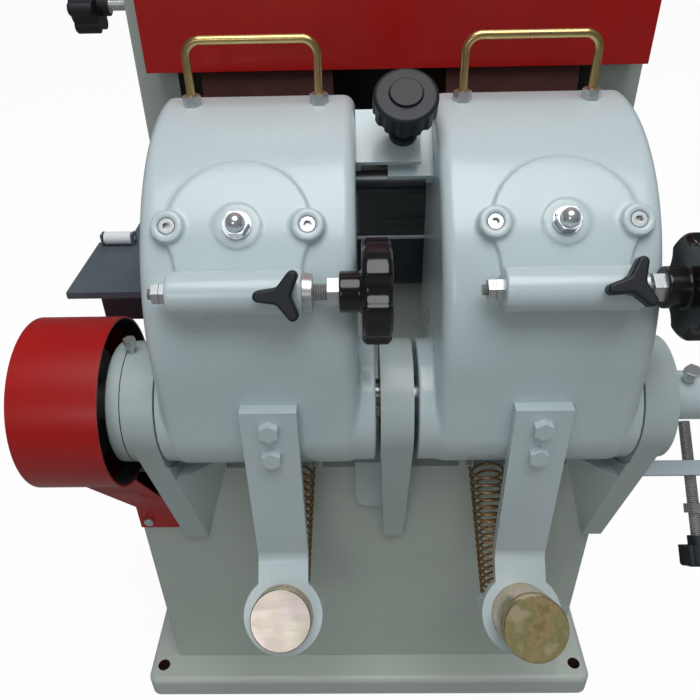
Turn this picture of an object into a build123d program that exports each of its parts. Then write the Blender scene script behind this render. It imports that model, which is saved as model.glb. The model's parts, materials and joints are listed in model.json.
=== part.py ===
from build123d import *
import os
from math import asin, atan2, cos, hypot, pi, radians, sin, sqrt, tan

os.makedirs("parts", exist_ok=True)

# Two-head cylindrical belt sander, floor standing, millimetres.
# X runs along the work (left to right seen from the operator), Y runs to the back, Z is up.
# The origin is under the middle of the base, on the floor.

# Base tray
base_width = 590.0
base_depth = 600.0
base_height = 33.0
base_wall = 5.0
base_corner = 14.0
base_edge = 8.0
anchor_hole = 16.0
anchor_inset_x = 18.0
anchor_inset_y = 23.0
anchor_sleeve = 4.0

# Pedestal cabinet
cabinet_width = 520.0
cabinet_depth = 527.0
cabinet_front = -263.5
cabinet_top = 390.0
cabinet_wall = 5.0
cabinet_corner = 5.0
notch_width = 46.0
notch_depth = 38.0
notch_inset = 9.0
shaft_hole_gap = 6.0
rear_opening_width = 360.0
rear_opening_height = 240.0
rear_opening_sill = 60.0
panel_lap = 18.0
panel_thickness = 2.5
louvre_count = 6
louvre_width = 150.0
louvre_height = 8.0
louvre_pitch = 24.0

# Heads: middle plane between them, pitch, casting
heads_middle = 29.5
head_pitch = 256.0
head_width = 184.0
head_wall = 9.0
head_edge = 12.0
pivot_y = -257.0
pivot_z = 479.5
pivot_radius = 63.0
crown_radius = 190.0
crown_z = 552.0
head_rear_y = -118.0
throat_z = 500.0
cavity_past = 40.0
hub_radius = 61.0
hub_outer_length = 7.0
hub_gap = 4.5
thrust_gap = 1.0

# Drive shaft and its fits
shaft_diameter = 40.0
running_gap = 0.05
body_gap = 0.4
screw_gap = 0.6
shaft_chamfer = 1.5
past = 1.0

# Bearing brackets
boss_radius = 61.0
boss_width = 31.0
leg_tip_z = 288.0
leg_tip_depth = 8.0
leg_root_z = 410.0
leg_shoulder = 6.0
leg_flare = (48.0, 44.0)
left_tip = (15.3, 16.1)
right_tip = (-10.9, -14.5)
middle_tip = (5.7, -3.5)
flange_reach = 25.5
flange_low_z = 338.0
flange_corner = 12.0
cap_width = 14.0
cap_bore_gap = 2.0
cap_chamfer = 1.5
foot_depth = 60.0
foot_height = 14.0

# Head cover plate, in the plane that leans back by this angle
plate_lean = 41.0
plate_shift = (6.0, 8.5)
plate_radius = 60.0
plate_raise = 4.0
plate_root = 14.0
plate_inset = 5.0
seat_depth = 6.0
ear_spacing = 116.5
ear_radius = 13.5
ear_height = 15.0
ear_head = 13.0
ear_recess_gap = 0.8
ear_recess_depth = 9.0
ear_thread = 8.0
ear_socket = 6.0
ear_socket_depth = 4.0
spot_radius = 19.0
spot_height = 2.0
swivel_diameter = 12.0
swivel_nut_flats = 19.0
swivel_nut_height = 9.0
swivel_dome = 8.4
swivel_washer = 2.0
swivel_washer_reach = 2.5
swivel_thread = 10.0
guide_tube_drop = 57.0
guide_tube_radius = 18.0
guide_tube_length = 109.0
guide_tube_rise = 16.0

# Feed wheel and its yoke inside each head
wheel_reach = 114.0
wheel_radius = 72.0
wheel_width = 100.0
wheel_tread = 14.0
wheel_axle = 20.0
yoke_arm = 10.0
yoke_side_gap = 2.0
yoke_half_depth = 18.0
yoke_bridge = 12.0
yoke_boss = 14.0
yoke_boss_radius = 28.0
yoke_pin_root = 2.0
wheel_edge = 4.0
wheel_recess = 6.0
axle_past = 3.0

# Feed chain
shaft_sprocket_radius = 30.0
wheel_sprocket_radius = 24.0
sprocket_width = 8.0
sprocket_offset = 66.0
chain_thickness = 5.0
chain_gap = 6.0
shaft_sprocket_teeth = 18
tooth_height = 5.0
tooth_share = 3.0
sprocket_gap = 1.0

# Feed angle screw, handwheel and lobed knob on the guide tube
angle_screw = 13.5
tail_screw = 9.0
tail_inset = 12.0
tail_nut_flats = 16.0
tail_nut_height = 6.0
tail_end = 4.0
lock_nut_flats = 22.0
lock_nut_height = 9.5
collar_width = (7.5, 2.5)
collar_radius = 16.0
wheel_stub = (29.5, 17.5)
wheel_grip = 30.0
handwheel_radius = 43.5
handwheel_width = 24.5
handwheel_corner = 5.0
handwheel_edge = 3.5
handwheel_hub = 17.0
handwheel_hub_length = 18.0
handwheel_lobes = 5
handwheel_turn = 6.0
scallop_radius = 15.0
scallop_depth = 7.0
lobe_reach = 22.0
lobe_tip = 4.5
lobe_root = 7.0
lobe_hub = 8.0
lobe_thickness = 11.0
lobe_chamfer = 1.5
lobe_stem = 4.0
lobe_gap = 1.0
lobe_screw = 8.0
lobe_inset = 14.5
lobe_lean = (25.0, 36.0)
lobe_turn = (60.0, 72.0)

# Lift handles
handle_rod = 8.0
handle_span = 118.0
handle_rise = 60.0
handle_bend = 14.0
handle_y = -145.0
handle_nut_flats = 15.0
handle_nut_height = 9.0
handle_nut_sink = 0.5
handle_shift = (0.0, -6.0)

# Press levers and their counterweights
lever_width = 52.0
lever_thickness = 12.0
lever_top = 524.0
lever_bend_z = 329.0
lever_bend_angle = 43.0
lever_bend_radius = 18.0
lever_ring_reach = 60.0
lever_ring_radius = 41.0
lever_x = (-88.0, 159.0)
lever_bolt_flats = 17.0
lever_bolt_height = 8.0
lever_bolt_shank = 10.0
lever_bolt_z = (505.0, 472.0)
lever_bolt_gap = 0.5
lever_bolt_room = 5.0
weight_radius = 31.0
weight_length = (56.0, 76.0)
weight_groove = 4.0
weight_groove_width = 7.0
weight_lip = 9.0
weight_out = (24.0, 62.0)
weight_gap = 0.08
weight_chamfer = 1.0

# Balance springs behind the levers, from a perch on the cabinet's edge to a post on the lever's ring
spring_wire = 2.6
spring_radius = 17.0
spring_turns = 18
spring_straight = 4.0
spring_top_y = -283.0
spring_top_z = 407.0
spring_top_shift = (17.0, 34.5)
spring_bottom_y = -316.0
spring_bottom_z = 246.0
spring_bottom_shift = (4.6, 13.2)
perch_width = 16.0
perch_depth = 6.0
perch_rise = 7.0
stud_radius = 3.0
stud_root = 3.0
post_offset = 36.5

# Link between the two heads
link_lean = 53.0
link_y = -172.7
link_z = 719.2
link_length = 56.5
link_thickness = 5.0
link_reach = (58.9, 42.5)
link_step = 14.0
link_forward = 6.0
link_flange = 35.0
link_flange_width = 36.0
link_flange_corner = 14.0
link_bolt_flats = 13.0
link_bolt_height = 6.0
link_bolt_drop = 20.0
link_offset = 7.3
link_screw = 10.0
link_knob_radius = 28.0
link_knob_height = 22.0
link_knob_edge = 4.0
link_knob_flutes = 13
link_flute = 4.2
link_cap_radius = 14.0
link_cap_rise = 3.0
link_neck = 35.0
link_neck_radius = 8.0
link_collar_radius = 13.0
link_collar_height = 6.0
link_nut_flats = 17.0
link_nut_height = 8.0
link_screw_tail = 14.0

# Belt guard on the left
guard_radius = 86.0
guard_length = 83.0
guard_sheet = 2.0
guard_tail_radius = 58.0
guard_side_gap = 3.0
guard_tab_width = 44.0
guard_tab_drop = 92.0
guard_tab_height = 34.0
guard_skirt_inset = 14.0
guard_skirt_reach = 31.0

# Feed drive
motor_y = -70.0
motor_z = 300.0
motor_radius = 62.0
motor_length = 210.0
motor_shaft = 24.0
motor_inset = 20.0
motor_shaft_depth = 60.0
motor_fins = 10
motor_edge = 8.0
motor_foot_inset = 30.0
fin_height = 10.0
fin_thickness = 3.0
fin_stand = 3.0
fin_margin = 32.0
shaft_pulley_radius = 55.0
motor_pulley_radius = 34.0
pulley_width = 26.0
pulley_inset = 30.0
pulley_flange = 4.0
vee_belt = 9.0
vee_belt_width = 13.0
vee_belt_inset = 10.0
vee_belt_proud = 1.0
vee_groove_gap = 0.5

# Belt frame, rollers and sanding belts
post_half_span = 274.5
post_width = 45.0
post_front_y = -10.0
post_depth = 90.0
post_wall = 4.0
post_top = 1150.0
post_foot = 10.0
contact_y = 15.0
contact_z = 600.0
contact_radius = 75.0
tension_y = 50.0
tension_drop = 140.0
tension_radius = 60.0
roller_length = 144.0
roller_shaft = 30.0
roller_overhang = 8.0
bearing_boss = 27.0
belt_width = 138.0
belt_thickness = 1.6
cross_bar = 40.0
cross_bar_drop = 130.0

# Belt hood
hood_half_width = 258.0
hood_shift = 6.0
hood_front_y = -52.0
hood_rear_y = 124.0
hood_bottom = 748.0
hood_rise = 30.0
hood_sheet = 2.0
hood_tail = 98.0
hood_screw_inset = 53.0

# Sanding motor behind the belt frame
sander_y = 190.0
sander_z = 505.0
sander_radius = 78.0
sander_length = 230.0
sander_shaft = 28.0
sander_pulley_radius = 52.0
roller_pulley_radius = 42.0
sander_fins = 12
sander_belt_gap = 14.0
sander_foot = 60.0

# Infeed table, guide roller and work rest
table_left = -324.0
table_right = -215.0
table_front_y = -152.0
table_step_y = -30.0
table_rear_y = 60.0
table_tongue_left = -288.0
table_top = 546.0
table_thickness = 8.0
table_block = 46.0
guide_roller_radius = 7.5
guide_roller_length = 33.0
guide_roller_left = -313.0
guide_roller_y = -37.0
guide_pin = 6.0
lug_width = 3.0
lug_gap = 0.5
guide_roller_gap = 1.5
table_block_inset = 24.0
table_block_setback = 30.0
table_block_notch = 40.0
rest_front_y = -80.0
rest_thickness = 14.0
rest_top = 572.0
rest_height = 60.0
rest_arm = 16.0
rest_arm_step = 20.0
rest_chamfer = 3.0

# Tracking knob on the left post
tracking_y = 15.0
tracking_z = 803.0
tracking_screw = 12.0
tracking_reach = 60.0
tracking_knob_radius = 29.0
tracking_knob_width = 26.0
tracking_lobes = 6
tracking_neck = 11.0
tracking_tip = 12.0
tracking_seat = 4.0
knob_chamfer = 2.0
knob_core_share = 0.8
knob_lobe_share = 0.26

# Support arm on the right
stub_radius = 24.5
stub_wall = 5.0
stub_length = 84.0
stub_bolt_inset = 26.5
stub_bolt_lean = 15.0
stub_bolt_rise = 8.0
arm_y = -246.0
arm_z = 366.0
arm_section = 26.0
arm_thickness = 16.0
arm_length = 114.0
arm_lean = -42.0
arm_screw = 12.0
arm_screw_inset = 16.0
arm_screw_up = 52.0
arm_screw_down = 104.0
arm_knob_radius = 20.0
arm_knob_height = 22.0
arm_knob_neck = 10.0
arm_knob_lobes = 5
arm_nut_rise = 30.0
arm_nut_flats = 19.0
arm_nut_height = 10.0

# Small fasteners
cover_screw_head = 11.0
cover_screw_height = 4.0
lock_bolt = 10.0
lock_bolt_flats = 14.0
lock_bolt_height = 8.0
boss_bolt = 7.0
boss_bolt_flats = 11.0
boss_bolt_inset = 4.5
boss_bolt_lean = 0.0
boss_bolt_depth = 12.0
boss_bolt_rise = 7.0

# Places worked out from the driving dimensions
cabinet_back = cabinet_front + cabinet_depth
cabinet_side = cabinet_width / 2
shaft_radius = shaft_diameter / 2
bore_radius = shaft_radius + running_gap
crown_y = pivot_y - pivot_radius + crown_radius
head_front = pivot_y - pivot_radius
sides = ((-1, "left"), (1, "right"))
head_x = {side: heads_middle + side * head_pitch / 2 for side, _ in sides}
inner_wall = head_pitch / 2 - head_width / 2
boss_reach = head_pitch / 2 + head_width / 2 + hub_outer_length + thrust_gap
boss_left = (heads_middle - boss_reach - boss_width, heads_middle - boss_reach)
boss_middle = (heads_middle - boss_width / 2, heads_middle + boss_width / 2)
boss_right = (heads_middle + boss_reach, heads_middle + boss_reach + boss_width)
hub_inner = inner_wall - boss_width / 2 - hub_gap
guard_open = boss_left[0] - cap_width + guard_sheet
guard_end = guard_open - guard_length
pulley_x = guard_end + pulley_inset
post_left = heads_middle - post_half_span
post_right = heads_middle + post_half_span
pivot = (pivot_y, pivot_z)
motor = (motor_y, motor_z)
sander = (sander_y, sander_z)
contact = (contact_y, contact_z)
tension_z = post_top - tension_drop
cross_bar_z = tension_z - cross_bar_drop
hood_top = post_top + hood_rise
tension = (tension_y, tension_z)
vee_x = post_right - post_width - vee_belt_width - vee_belt_inset
plate_thickness = seat_depth + plate_raise
motor_left = -cabinet_side + cabinet_wall + motor_inset


def box(x0, x1, y0, y1, z0, z1):
    middle = Pos((x0 + x1) / 2, (y0 + y1) / 2, (z0 + z1) / 2)
    return middle * Box(x1 - x0, y1 - y0, z1 - z0)


def along(start, end):
    start = Vector(*start)
    return Plane(origin=start, z_dir=Vector(*end) - start), (Vector(*end) - start).length


def rod(start, end, radius):
    plane, length = along(start, end)
    return plane * Cylinder(radius, length, align=(Align.CENTER, Align.CENTER, Align.MIN))


def rod_x(x0, x1, at, radius):
    return rod((x0, *at), (x1, *at), radius)


def ring_x(x0, x1, at, outer, inner):
    return rod_x(x0, x1, at, outer) - rod_x(x0 - past, x1 + past, at, inner)


def hex_prism(flats, height):
    return extrude(RegularPolygon(flats / 2, 6, major_radius=False), height)


def hex_bar(start, end, flats):
    plane, length = along(start, end)
    return plane * hex_prism(flats, length)


def leaning(x, y, z, lean):
    return Plane(origin=(x, y, z), x_dir=(1, 0, 0), z_dir=(0, -cos(radians(lean)), sin(radians(lean))))


def side_profile(sketch, x0, x1):
    return Plane((x0, 0, 0), x_dir=(0, 1, 0), z_dir=(1, 0, 0)) * extrude(sketch, x1 - x0)


def loop_face(first, r1, second, r2):
    discs = [*(Pos(*first) * Circle(r1)).edges(), *(Pos(*second) * Circle(r2)).edges()]
    return make_hull(discs)


def loop_x(x0, x1, first, r1, second, r2):
    return side_profile(loop_face(first, r1, second, r2), x0, x1)


def per_head(pair, side):
    return pair[0] if side < 0 else pair[1]


def save(name, *shapes):
    solids = [solid for shape in shapes for solid in shape.solids()]
    export_step(solids[0] if len(solids) == 1 else Compound(solids), f"parts/{name}.step")


# Base tray and cabinet

def base_plate():
    tray = Pos(0, 0, base_height / 2) * Box(base_width, base_depth, base_height)
    tray = fillet(tray.edges().filter_by(Axis.Z), base_corner)
    tray = fillet(tray.faces().sort_by(Axis.Z)[-1].edges(), base_edge)
    inner = Box(base_width - 2 * base_wall, base_depth - 2 * base_wall, base_height - base_wall)
    inner = fillet(inner.edges().filter_by(Axis.Z), base_corner - base_wall)
    tray -= Pos(0, 0, (base_height - base_wall) / 2) * inner
    hole_x = base_width / 2 - anchor_inset_x
    hole_y = base_depth / 2 - anchor_inset_y
    for x in (-hole_x, hole_x):
        for y in (-hole_y, hole_y):
            tray += rod((x, y, 0), (x, y, base_height), anchor_hole / 2 + anchor_sleeve)
            tray -= rod((x, y, -past), (x, y, base_height + past), anchor_hole / 2)
    return tray


def spring_line(side):
    toward_middle = -side
    x = per_head(lever_x, side)
    top = Vector(x + toward_middle * per_head(spring_top_shift, side), spring_top_y, spring_top_z)
    bottom_x = x + toward_middle * per_head(spring_bottom_shift, side)
    return top, Vector(bottom_x, spring_bottom_y, spring_bottom_z)


def cabinet():
    shell = box(-cabinet_side, cabinet_side, cabinet_front, cabinet_back, base_height, cabinet_top)
    shell = fillet(shell.edges().filter_by(Axis.Z), cabinet_corner)
    reach = cabinet_side - cabinet_wall
    shell -= box(-reach, reach, cabinet_front + cabinet_wall, cabinet_back - cabinet_wall, base_height - past,
                 cabinet_top - cabinet_wall)
    notch_left = -cabinet_side + notch_inset
    shell -= box(notch_left, notch_left + notch_width, cabinet_front - past,
                 cabinet_front + cabinet_wall + past, cabinet_top - notch_depth, cabinet_top - cabinet_wall)
    shell -= rear_opening(cabinet_back - cabinet_wall - past, cabinet_back + past)
    shell -= rod_x(-cabinet_side - past, -reach + past, motor, motor_shaft / 2 + shaft_hole_gap)
    for side, _ in sides:
        shell += spring_perch(side)
    return shell


def rear_opening(y0, y1, lap=0.0):
    sill = base_height + rear_opening_sill
    half = rear_opening_width / 2 + lap
    return box(-half, half, y0, y1, sill - lap, sill + rear_opening_height + lap)


def rear_panel():
    back = cabinet_back
    panel = rear_opening(back, back + panel_thickness, panel_lap)
    middle = base_height + rear_opening_sill + rear_opening_height / 2
    for row in range(louvre_count):
        z = middle + (row - (louvre_count - 1) / 2) * louvre_pitch
        panel -= box(-louvre_width / 2, louvre_width / 2, back - past, back + panel_thickness + past,
                     z - louvre_height / 2, z + louvre_height / 2)
    return panel


def screw_head(at, axis):
    at, direction = Vector(*at), Vector(*axis)
    head = rod(at, at + direction * cover_screw_height, cover_screw_head / 2)
    top = head.faces().sort_by(Axis((0, 0, 0), axis))[-1]
    return fillet(top.edges(), cover_screw_height / 3)


def cover_screws():
    heads = []
    half = rear_opening_width / 2 + panel_lap / 2
    low = base_height + rear_opening_sill - panel_lap / 2
    high = low + rear_opening_height + panel_lap
    back = cabinet_back + panel_thickness
    for x in (-half, half):
        for z in (low, high):
            heads.append(screw_head((x, back, z), (0, 1, 0)))
    tab_z = cabinet_top - guard_tab_drop + guard_tab_height / 3
    tab_x = -cabinet_side + guard_tab_width / 4
    heads.append(screw_head((tab_x, cabinet_front - guard_sheet, tab_z), (0, -1, 0)))
    for side in (-1, 1):
        x = heads_middle + hood_shift + side * (hood_half_width - post_width)
        for place in (hood_front_y + hood_screw_inset, hood_rear_y - hood_screw_inset):
            heads.append(screw_head((x, place, hood_top), (0, 0, 1)))
    return heads


# Bearing brackets

def quad(front, y0, back, y1, z):
    points = [(front[0], y0), (front[1], y0), (back[1], y1), (back[0], y1)]
    return Plane.XY.offset(z) * make_face(Polyline(*points, close=True))


def leg_touch():
    # where the straight front of a leg lies against the boss
    tip_y = cabinet_front - leg_tip_depth
    reach, heading = tangent_point((tip_y, leg_tip_z))
    turn = heading + asin(boss_radius / reach)
    run = sqrt(reach**2 - boss_radius**2)
    return tip_y + run * cos(turn), leg_tip_z + run * sin(turn)


def bracket_leg(span, tip_shift, flare):
    tip = (span[0] + tip_shift[0], span[1] + tip_shift[1])
    tip_y = cabinet_front - leg_tip_depth
    front, touch_z = leg_touch()
    foot = quad(tip, tip_y, tip, cabinet_front, leg_tip_z)
    leg = loft([foot, quad(span, front, span, cabinet_front, touch_z)], ruled=True)
    if not any(flare):
        return leg
    share = (leg_root_z - leg_tip_z) / (touch_z - leg_tip_z)
    root_y = tip_y + (front - tip_y) * share
    root = tuple(t + (s - t) * share for s, t in zip(span, tip))
    wide = (root[0] - flare[0], root[1] + flare[1])
    return leg + loft([foot, quad(root, root_y, wide, cabinet_front, leg_root_z)], ruled=True)


def bracket(span, leg, tip_shift, flare, foot_reach):
    body = rod_x(*span, pivot, boss_radius)
    body += bracket_leg(leg, tip_shift, flare)
    body += box(*span, cabinet_front, cabinet_front + foot_depth, cabinet_top, pivot_z)
    foot = (max(span[0] - foot_reach[0], -cabinet_side),
            min(span[1] + foot_reach[1], max(span[1], cabinet_side)))
    body += box(*foot, cabinet_front, cabinet_front + foot_depth, cabinet_top, cabinet_top + foot_height)
    swept = pivot_radius + hub_gap
    body -= rod_x(span[0] - head_width, span[0], pivot, swept)
    body -= rod_x(span[1], span[1] + head_width, pivot, swept)
    return body - rod_x(span[0] - past, span[1] + past, pivot, bore_radius)


def bracket_left():
    low, top, _ = boss_bolt_line()
    reach = (0.0, leg_flare[0])
    body = bracket(boss_left, (boss_left[0] + leg_shoulder, boss_left[1]), left_tip, reach, reach)
    return body - rod(low, top, boss_bolt / 2)


def bracket_middle():
    body = bracket(boss_middle, boss_middle, middle_tip, (0.0, 0.0), (flange_reach, 0.0))
    flange = box(boss_middle[0] - flange_reach, heads_middle, cabinet_front - leg_tip_depth, cabinet_front,
                 flange_low_z, cabinet_top + foot_height)
    corner = flange.edges().filter_by(Axis.Y).sort_by(lambda e: e.center().X + e.center().Z)[0]
    return body + fillet(corner, flange_corner)


def bracket_right():
    reach = (leg_flare[1], 0.0)
    return bracket(boss_right, (boss_right[0], boss_right[1] - leg_shoulder), right_tip, reach, reach)


def bearing_cap():
    cap = ring_x(boss_left[0] - cap_width, boss_left[0], pivot, boss_radius, shaft_radius + cap_bore_gap)
    rim = cap.edges().filter_by(GeomType.CIRCLE).group_by(SortBy.RADIUS)[-1]
    return chamfer(rim.sort_by(Axis.X)[:1], cap_chamfer)


# Heads

def tangent_point(point):
    dy, dz = pivot_y - point[0], pivot_z - point[1]
    return hypot(dy, dz), atan2(dz, dy)


def head_outline(inset, rear):
    radius = pivot_radius - inset
    big = crown_radius - inset
    front = head_front + inset
    throat = (rear, throat_z + inset)
    reach, heading = tangent_point(throat)
    turn = heading + asin(radius / reach)
    run = sqrt(reach**2 - radius**2)
    touch = (throat[0] + run * cos(turn), throat[1] + run * sin(turn))
    top = (rear, crown_z + sqrt(big**2 - (rear - crown_y)**2))
    low = (pivot_y + radius * cos(1.25 * pi), pivot_z + radius * sin(1.25 * pi))
    lines = [
        Line((front, pivot_z), (front, crown_z)),
        ThreePointArc((front, crown_z), (crown_y - big * sin(pi / 4), crown_z + big * sin(pi / 4)), top),
        Line(top, throat),
        Line(throat, touch),
        ThreePointArc(touch, low, (front, pivot_z)),
    ]
    return make_face(lines)


def plate_plane(side):
    out = radians(plate_lean)
    reach = crown_radius - seat_depth
    x = head_x[side] + side * per_head(plate_shift, side)
    return leaning(x, crown_y - reach * cos(out), crown_z + reach * sin(out), plate_lean)


def plate_outline(grow=0.0):
    half = ear_spacing / 2
    face = Circle(plate_radius + grow)
    neck = guide_tube_length / 2 - plate_inset
    face += make_face(Polyline((-half, 0), (half, 0), (neck + grow, -guide_tube_drop),
                               (-neck - grow, -guide_tube_drop), close=True))
    for x in (-half, half):
        face += Pos(x, 0) * Circle(ear_radius + grow)
    return face


def head_housing(side):
    x = head_x[side]
    half = head_width / 2
    body = side_profile(head_outline(0, head_rear_y), x - half, x + half)
    rims = [f for f in body.faces() if abs(f.normal_at().X) > 0.99]
    body = fillet([e for f in rims for e in f.edges() if e.center().Y < head_rear_y - past], head_edge)
    plane = plate_plane(side)
    inside = (x - half + head_wall, x + half - head_wall)
    cavity = side_profile(head_outline(head_wall, head_rear_y + cavity_past), *inside)
    inner_boss = plane * extrude(Circle(yoke_boss_radius), -yoke_boss)
    body -= cavity - inner_boss
    for wall, length in ((-side, hub_inner), (side, hub_outer_length)):
        x0 = x + wall * (half - head_edge)
        x1 = x + wall * (half + length)
        body += rod_x(min(x0, x1), max(x0, x1), pivot, hub_radius)
    body -= rod_x(*inside, pivot, pivot_radius - head_wall)
    body -= rod_x(x - half - hub_inner - past, x + half + hub_inner + past, pivot, bore_radius)
    body -= plane * extrude(plate_outline(body_gap), seat_depth * 4)
    body -= plane * Pos(0, 0, -yoke_boss - past) * Cylinder(
        swivel_diameter / 2 + running_gap, yoke_boss + 2, align=(Align.CENTER, Align.CENTER, Align.MIN))
    for ear in (-1, 1):
        body -= plane * Pos(ear * ear_spacing / 2, 0, -head_wall) * Cylinder(ear_thread / 2, 2 * head_wall)
    for z in lever_bolt_z:
        bolt_x = per_head(lever_x, side)
        bolt_end = (bolt_x, head_front + head_wall + lever_bolt_room, z)
        body -= rod((bolt_x, head_front - past, z), bolt_end, lever_bolt_shank / 2)
    for leg in handle_legs(side):
        seat = handle_seat()
        body -= rod((leg, handle_y, seat - 2 * head_wall), (leg, handle_y, seat + head_wall), handle_rod / 2)
    return body


def tube_axis(plane, x):
    return plane.from_local_coords(Vector(x, -guide_tube_drop, guide_tube_rise))


def cover_plate(side):
    # a skin over the crown, with the ears, the spot face and the guide tube standing on it
    plane = plate_plane(side)
    x = head_x[side]
    skin = plane * Pos(0, 0, -plate_root) * extrude(plate_outline(), plate_root + plate_thickness)
    skin &= rod_x(x - head_width, x + head_width, (crown_y, crown_z), crown_radius + plate_raise)
    spot_top = plate_thickness + spot_height
    raised = Pos(0, 0, spot_top / 2) * Cylinder(spot_radius, spot_top)
    for ear in (-1, 1):
        raised += Pos(ear * ear_spacing / 2, 0, ear_height / 2) * Cylinder(ear_radius, ear_height)
    ends = [tube_axis(plane, end * guide_tube_length / 2) for end in (-1, 1)]
    plate = skin + plane * raised + rod(ends[0], ends[1], guide_tube_radius)
    for ear in (-1, 1):
        recess = Pos(ear * ear_spacing / 2, 0, ear_height - ear_recess_depth / 2)
        plate -= plane * recess * Cylinder(ear_head / 2 + ear_recess_gap, ear_recess_depth)
        hole = Pos(ear * ear_spacing / 2, 0, 0)
        plate -= plane * hole * Cylinder(ear_thread / 2 + lever_bolt_gap, 4 * ear_height)
    plate -= plane * Cylinder(swivel_diameter / 2 + running_gap, 4 * ear_height)
    step = (ends[1] - ends[0]).normalized()
    plate -= rod(ends[0] + step * tail_inset, ends[1] + step, angle_screw / 2 + running_gap)
    plate -= rod(ends[0] - step, ends[1], tail_screw / 2 + running_gap)
    plate -= knob_shaft(side, guide_tube_radius + past)
    return plate - crown_below(side)


def crown_below(side):
    # the casting's own crown, so that the plate and its guide tube are bedded on it
    x = head_x[side]
    body = side_profile(head_outline(0, head_rear_y), x - head_width, x + head_width)
    plane = plate_plane(side)
    return body - plane * extrude(plate_outline(body_gap), seat_depth * 4)


def knob_base(side):
    lean = radians(per_head(lobe_lean, side))
    place = tube_axis(plate_plane(side), guide_tube_length / 2 - lobe_inset)
    return place, Vector(0, -cos(lean), sin(lean))


def knob_shaft(side, reach):
    start, out = knob_base(side)
    return rod(start, start + out * reach, lobe_screw / 2 + running_gap)


def lobed_knob(side):
    start, out = knob_base(side)
    seat = start + out * (angle_screw / 2 + lobe_gap)
    foot = start + out * (guide_tube_radius + lobe_gap)
    top = foot + out * lobe_stem
    knob = rod(seat, top, lobe_screw / 2) + rod(foot, top, lobe_hub)
    face = Circle(lobe_hub)
    for arm in range(3):
        turn = per_head(lobe_turn, side) + 120 * arm
        face += Rot(0, 0, turn) * loop_face((0, 0), lobe_root, (lobe_reach - lobe_tip, 0), lobe_tip)
    star = extrude(face, lobe_thickness)
    star = chamfer(star.faces().sort_by(Axis.Z)[-1].edges(), lobe_chamfer)
    return knob + Plane(origin=top, x_dir=(1, 0, 0), z_dir=out) * star


def ear_screw(plane, x):
    seat = ear_height - ear_recess_depth
    head_height = ear_recess_depth - 1
    shank = Cylinder(ear_thread / 2, seat + head_wall, align=(Align.CENTER, Align.CENTER, Align.MAX))
    head = Cylinder(ear_head / 2, head_height, align=(Align.CENTER, Align.CENTER, Align.MIN))
    socket = Pos(0, 0, head_height - ear_socket_depth) * hex_prism(ear_socket, ear_socket_depth)
    return plane * Pos(x, 0, seat) * (shank + head - socket)


def head_screws(side):
    plane = plate_plane(side)
    screws = [ear_screw(plane, x * ear_spacing / 2) for x in (-1, 1)]
    x = per_head(lever_x, side)
    face = head_front - lever_thickness
    for z in lever_bolt_z:
        bolt = hex_bar((x, face, z), (x, face - lever_bolt_height, z), lever_bolt_flats)
        bolt += rod((x, face, z), (x, head_front + head_wall, z), lever_bolt_shank / 2)
        screws.append(bolt)
    return [*screws, link_bolt(side)]


def swivel_nut(side):
    plane = plate_plane(side)
    seat = plate_thickness + spot_height + body_gap
    nut = Pos(0, 0, seat) * hex_prism(swivel_nut_flats, swivel_nut_height)
    washer = Pos(0, 0, seat + swivel_washer / 2) * Cylinder(
        swivel_nut_flats / 2 + swivel_washer_reach, swivel_washer)
    dome = Pos(0, 0, seat + swivel_nut_height) * Sphere(swivel_dome)
    nut = nut + washer + dome
    nut -= Pos(0, 0, seat + swivel_thread / 2) * Cylinder(swivel_diameter / 2, swivel_thread)
    return plane * nut


def wheel_place(side):
    return plate_plane(side).from_local_coords(Vector(0, 0, -wheel_reach))


def wheel_yoke(side):
    plane = plate_plane(side)
    inner = wheel_width / 2 + yoke_side_gap
    outer = inner + yoke_arm
    top = -yoke_boss - body_gap
    bridge = Pos(0, 0, top - yoke_bridge / 2) * Box(2 * outer, 2 * yoke_half_depth, yoke_bridge)
    arm_length = wheel_reach + top
    yoke = bridge
    for arm in (-1, 1):
        x = arm * (inner + outer) / 2
        yoke += Pos(x, 0, top - arm_length / 2) * Box(yoke_arm, 2 * yoke_half_depth, arm_length)
        yoke += Pos(x, 0, -wheel_reach) * Rot(0, 90, 0) * Cylinder(yoke_half_depth, yoke_arm)
    yoke -= Pos(0, 0, -wheel_reach) * Rot(0, 90, 0) * Cylinder(wheel_axle / 2 + running_gap, 4 * outer)
    pin_top = plate_thickness + spot_height + body_gap + swivel_thread
    pin = Pos(0, 0, top - yoke_pin_root) * Cylinder(
        swivel_diameter / 2, pin_top - top + yoke_pin_root, align=(Align.CENTER, Align.CENTER, Align.MIN))
    return plane * (yoke + pin)


def sprocket(x0, x1, at, radius, teeth):
    root = radius - tooth_height / 2
    disc = Circle(root)
    for tooth in range(teeth):
        turn = 360 / teeth * tooth
        disc += Rot(0, 0, turn) * (Pos(root, 0) * Rectangle(tooth_height, radius * tooth_share / teeth))
    return side_profile(Pos(*at) * disc, x0, x1)


def chain_x(side):
    middle = head_x[side] - side * sprocket_offset
    return middle - sprocket_width / 2, middle + sprocket_width / 2


def wheel_teeth():
    return round(shaft_sprocket_teeth * wheel_sprocket_radius / shaft_sprocket_radius)


def feed_wheel(side):
    centre = wheel_place(side)
    at = (centre.Y, centre.Z)
    half = wheel_width / 2
    wheel = rod_x(centre.X - half, centre.X + half, at, wheel_radius)
    wheel = fillet(wheel.edges().filter_by(GeomType.CIRCLE), wheel_edge)
    face = centre.X - half
    groove = ring_x(face - past, face + wheel_recess, at, wheel_radius - wheel_tread, wheel_axle)
    wheel -= groove
    x0, x1 = chain_x(side)
    far = centre.X + side * (half + yoke_side_gap + yoke_arm + axle_past)
    near = x0 if side > 0 else x1
    wheel += rod_x(min(far, near), max(far, near), at, wheel_axle / 2)
    return wheel + sprocket(x0, x1, at, wheel_sprocket_radius, wheel_teeth())


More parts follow.
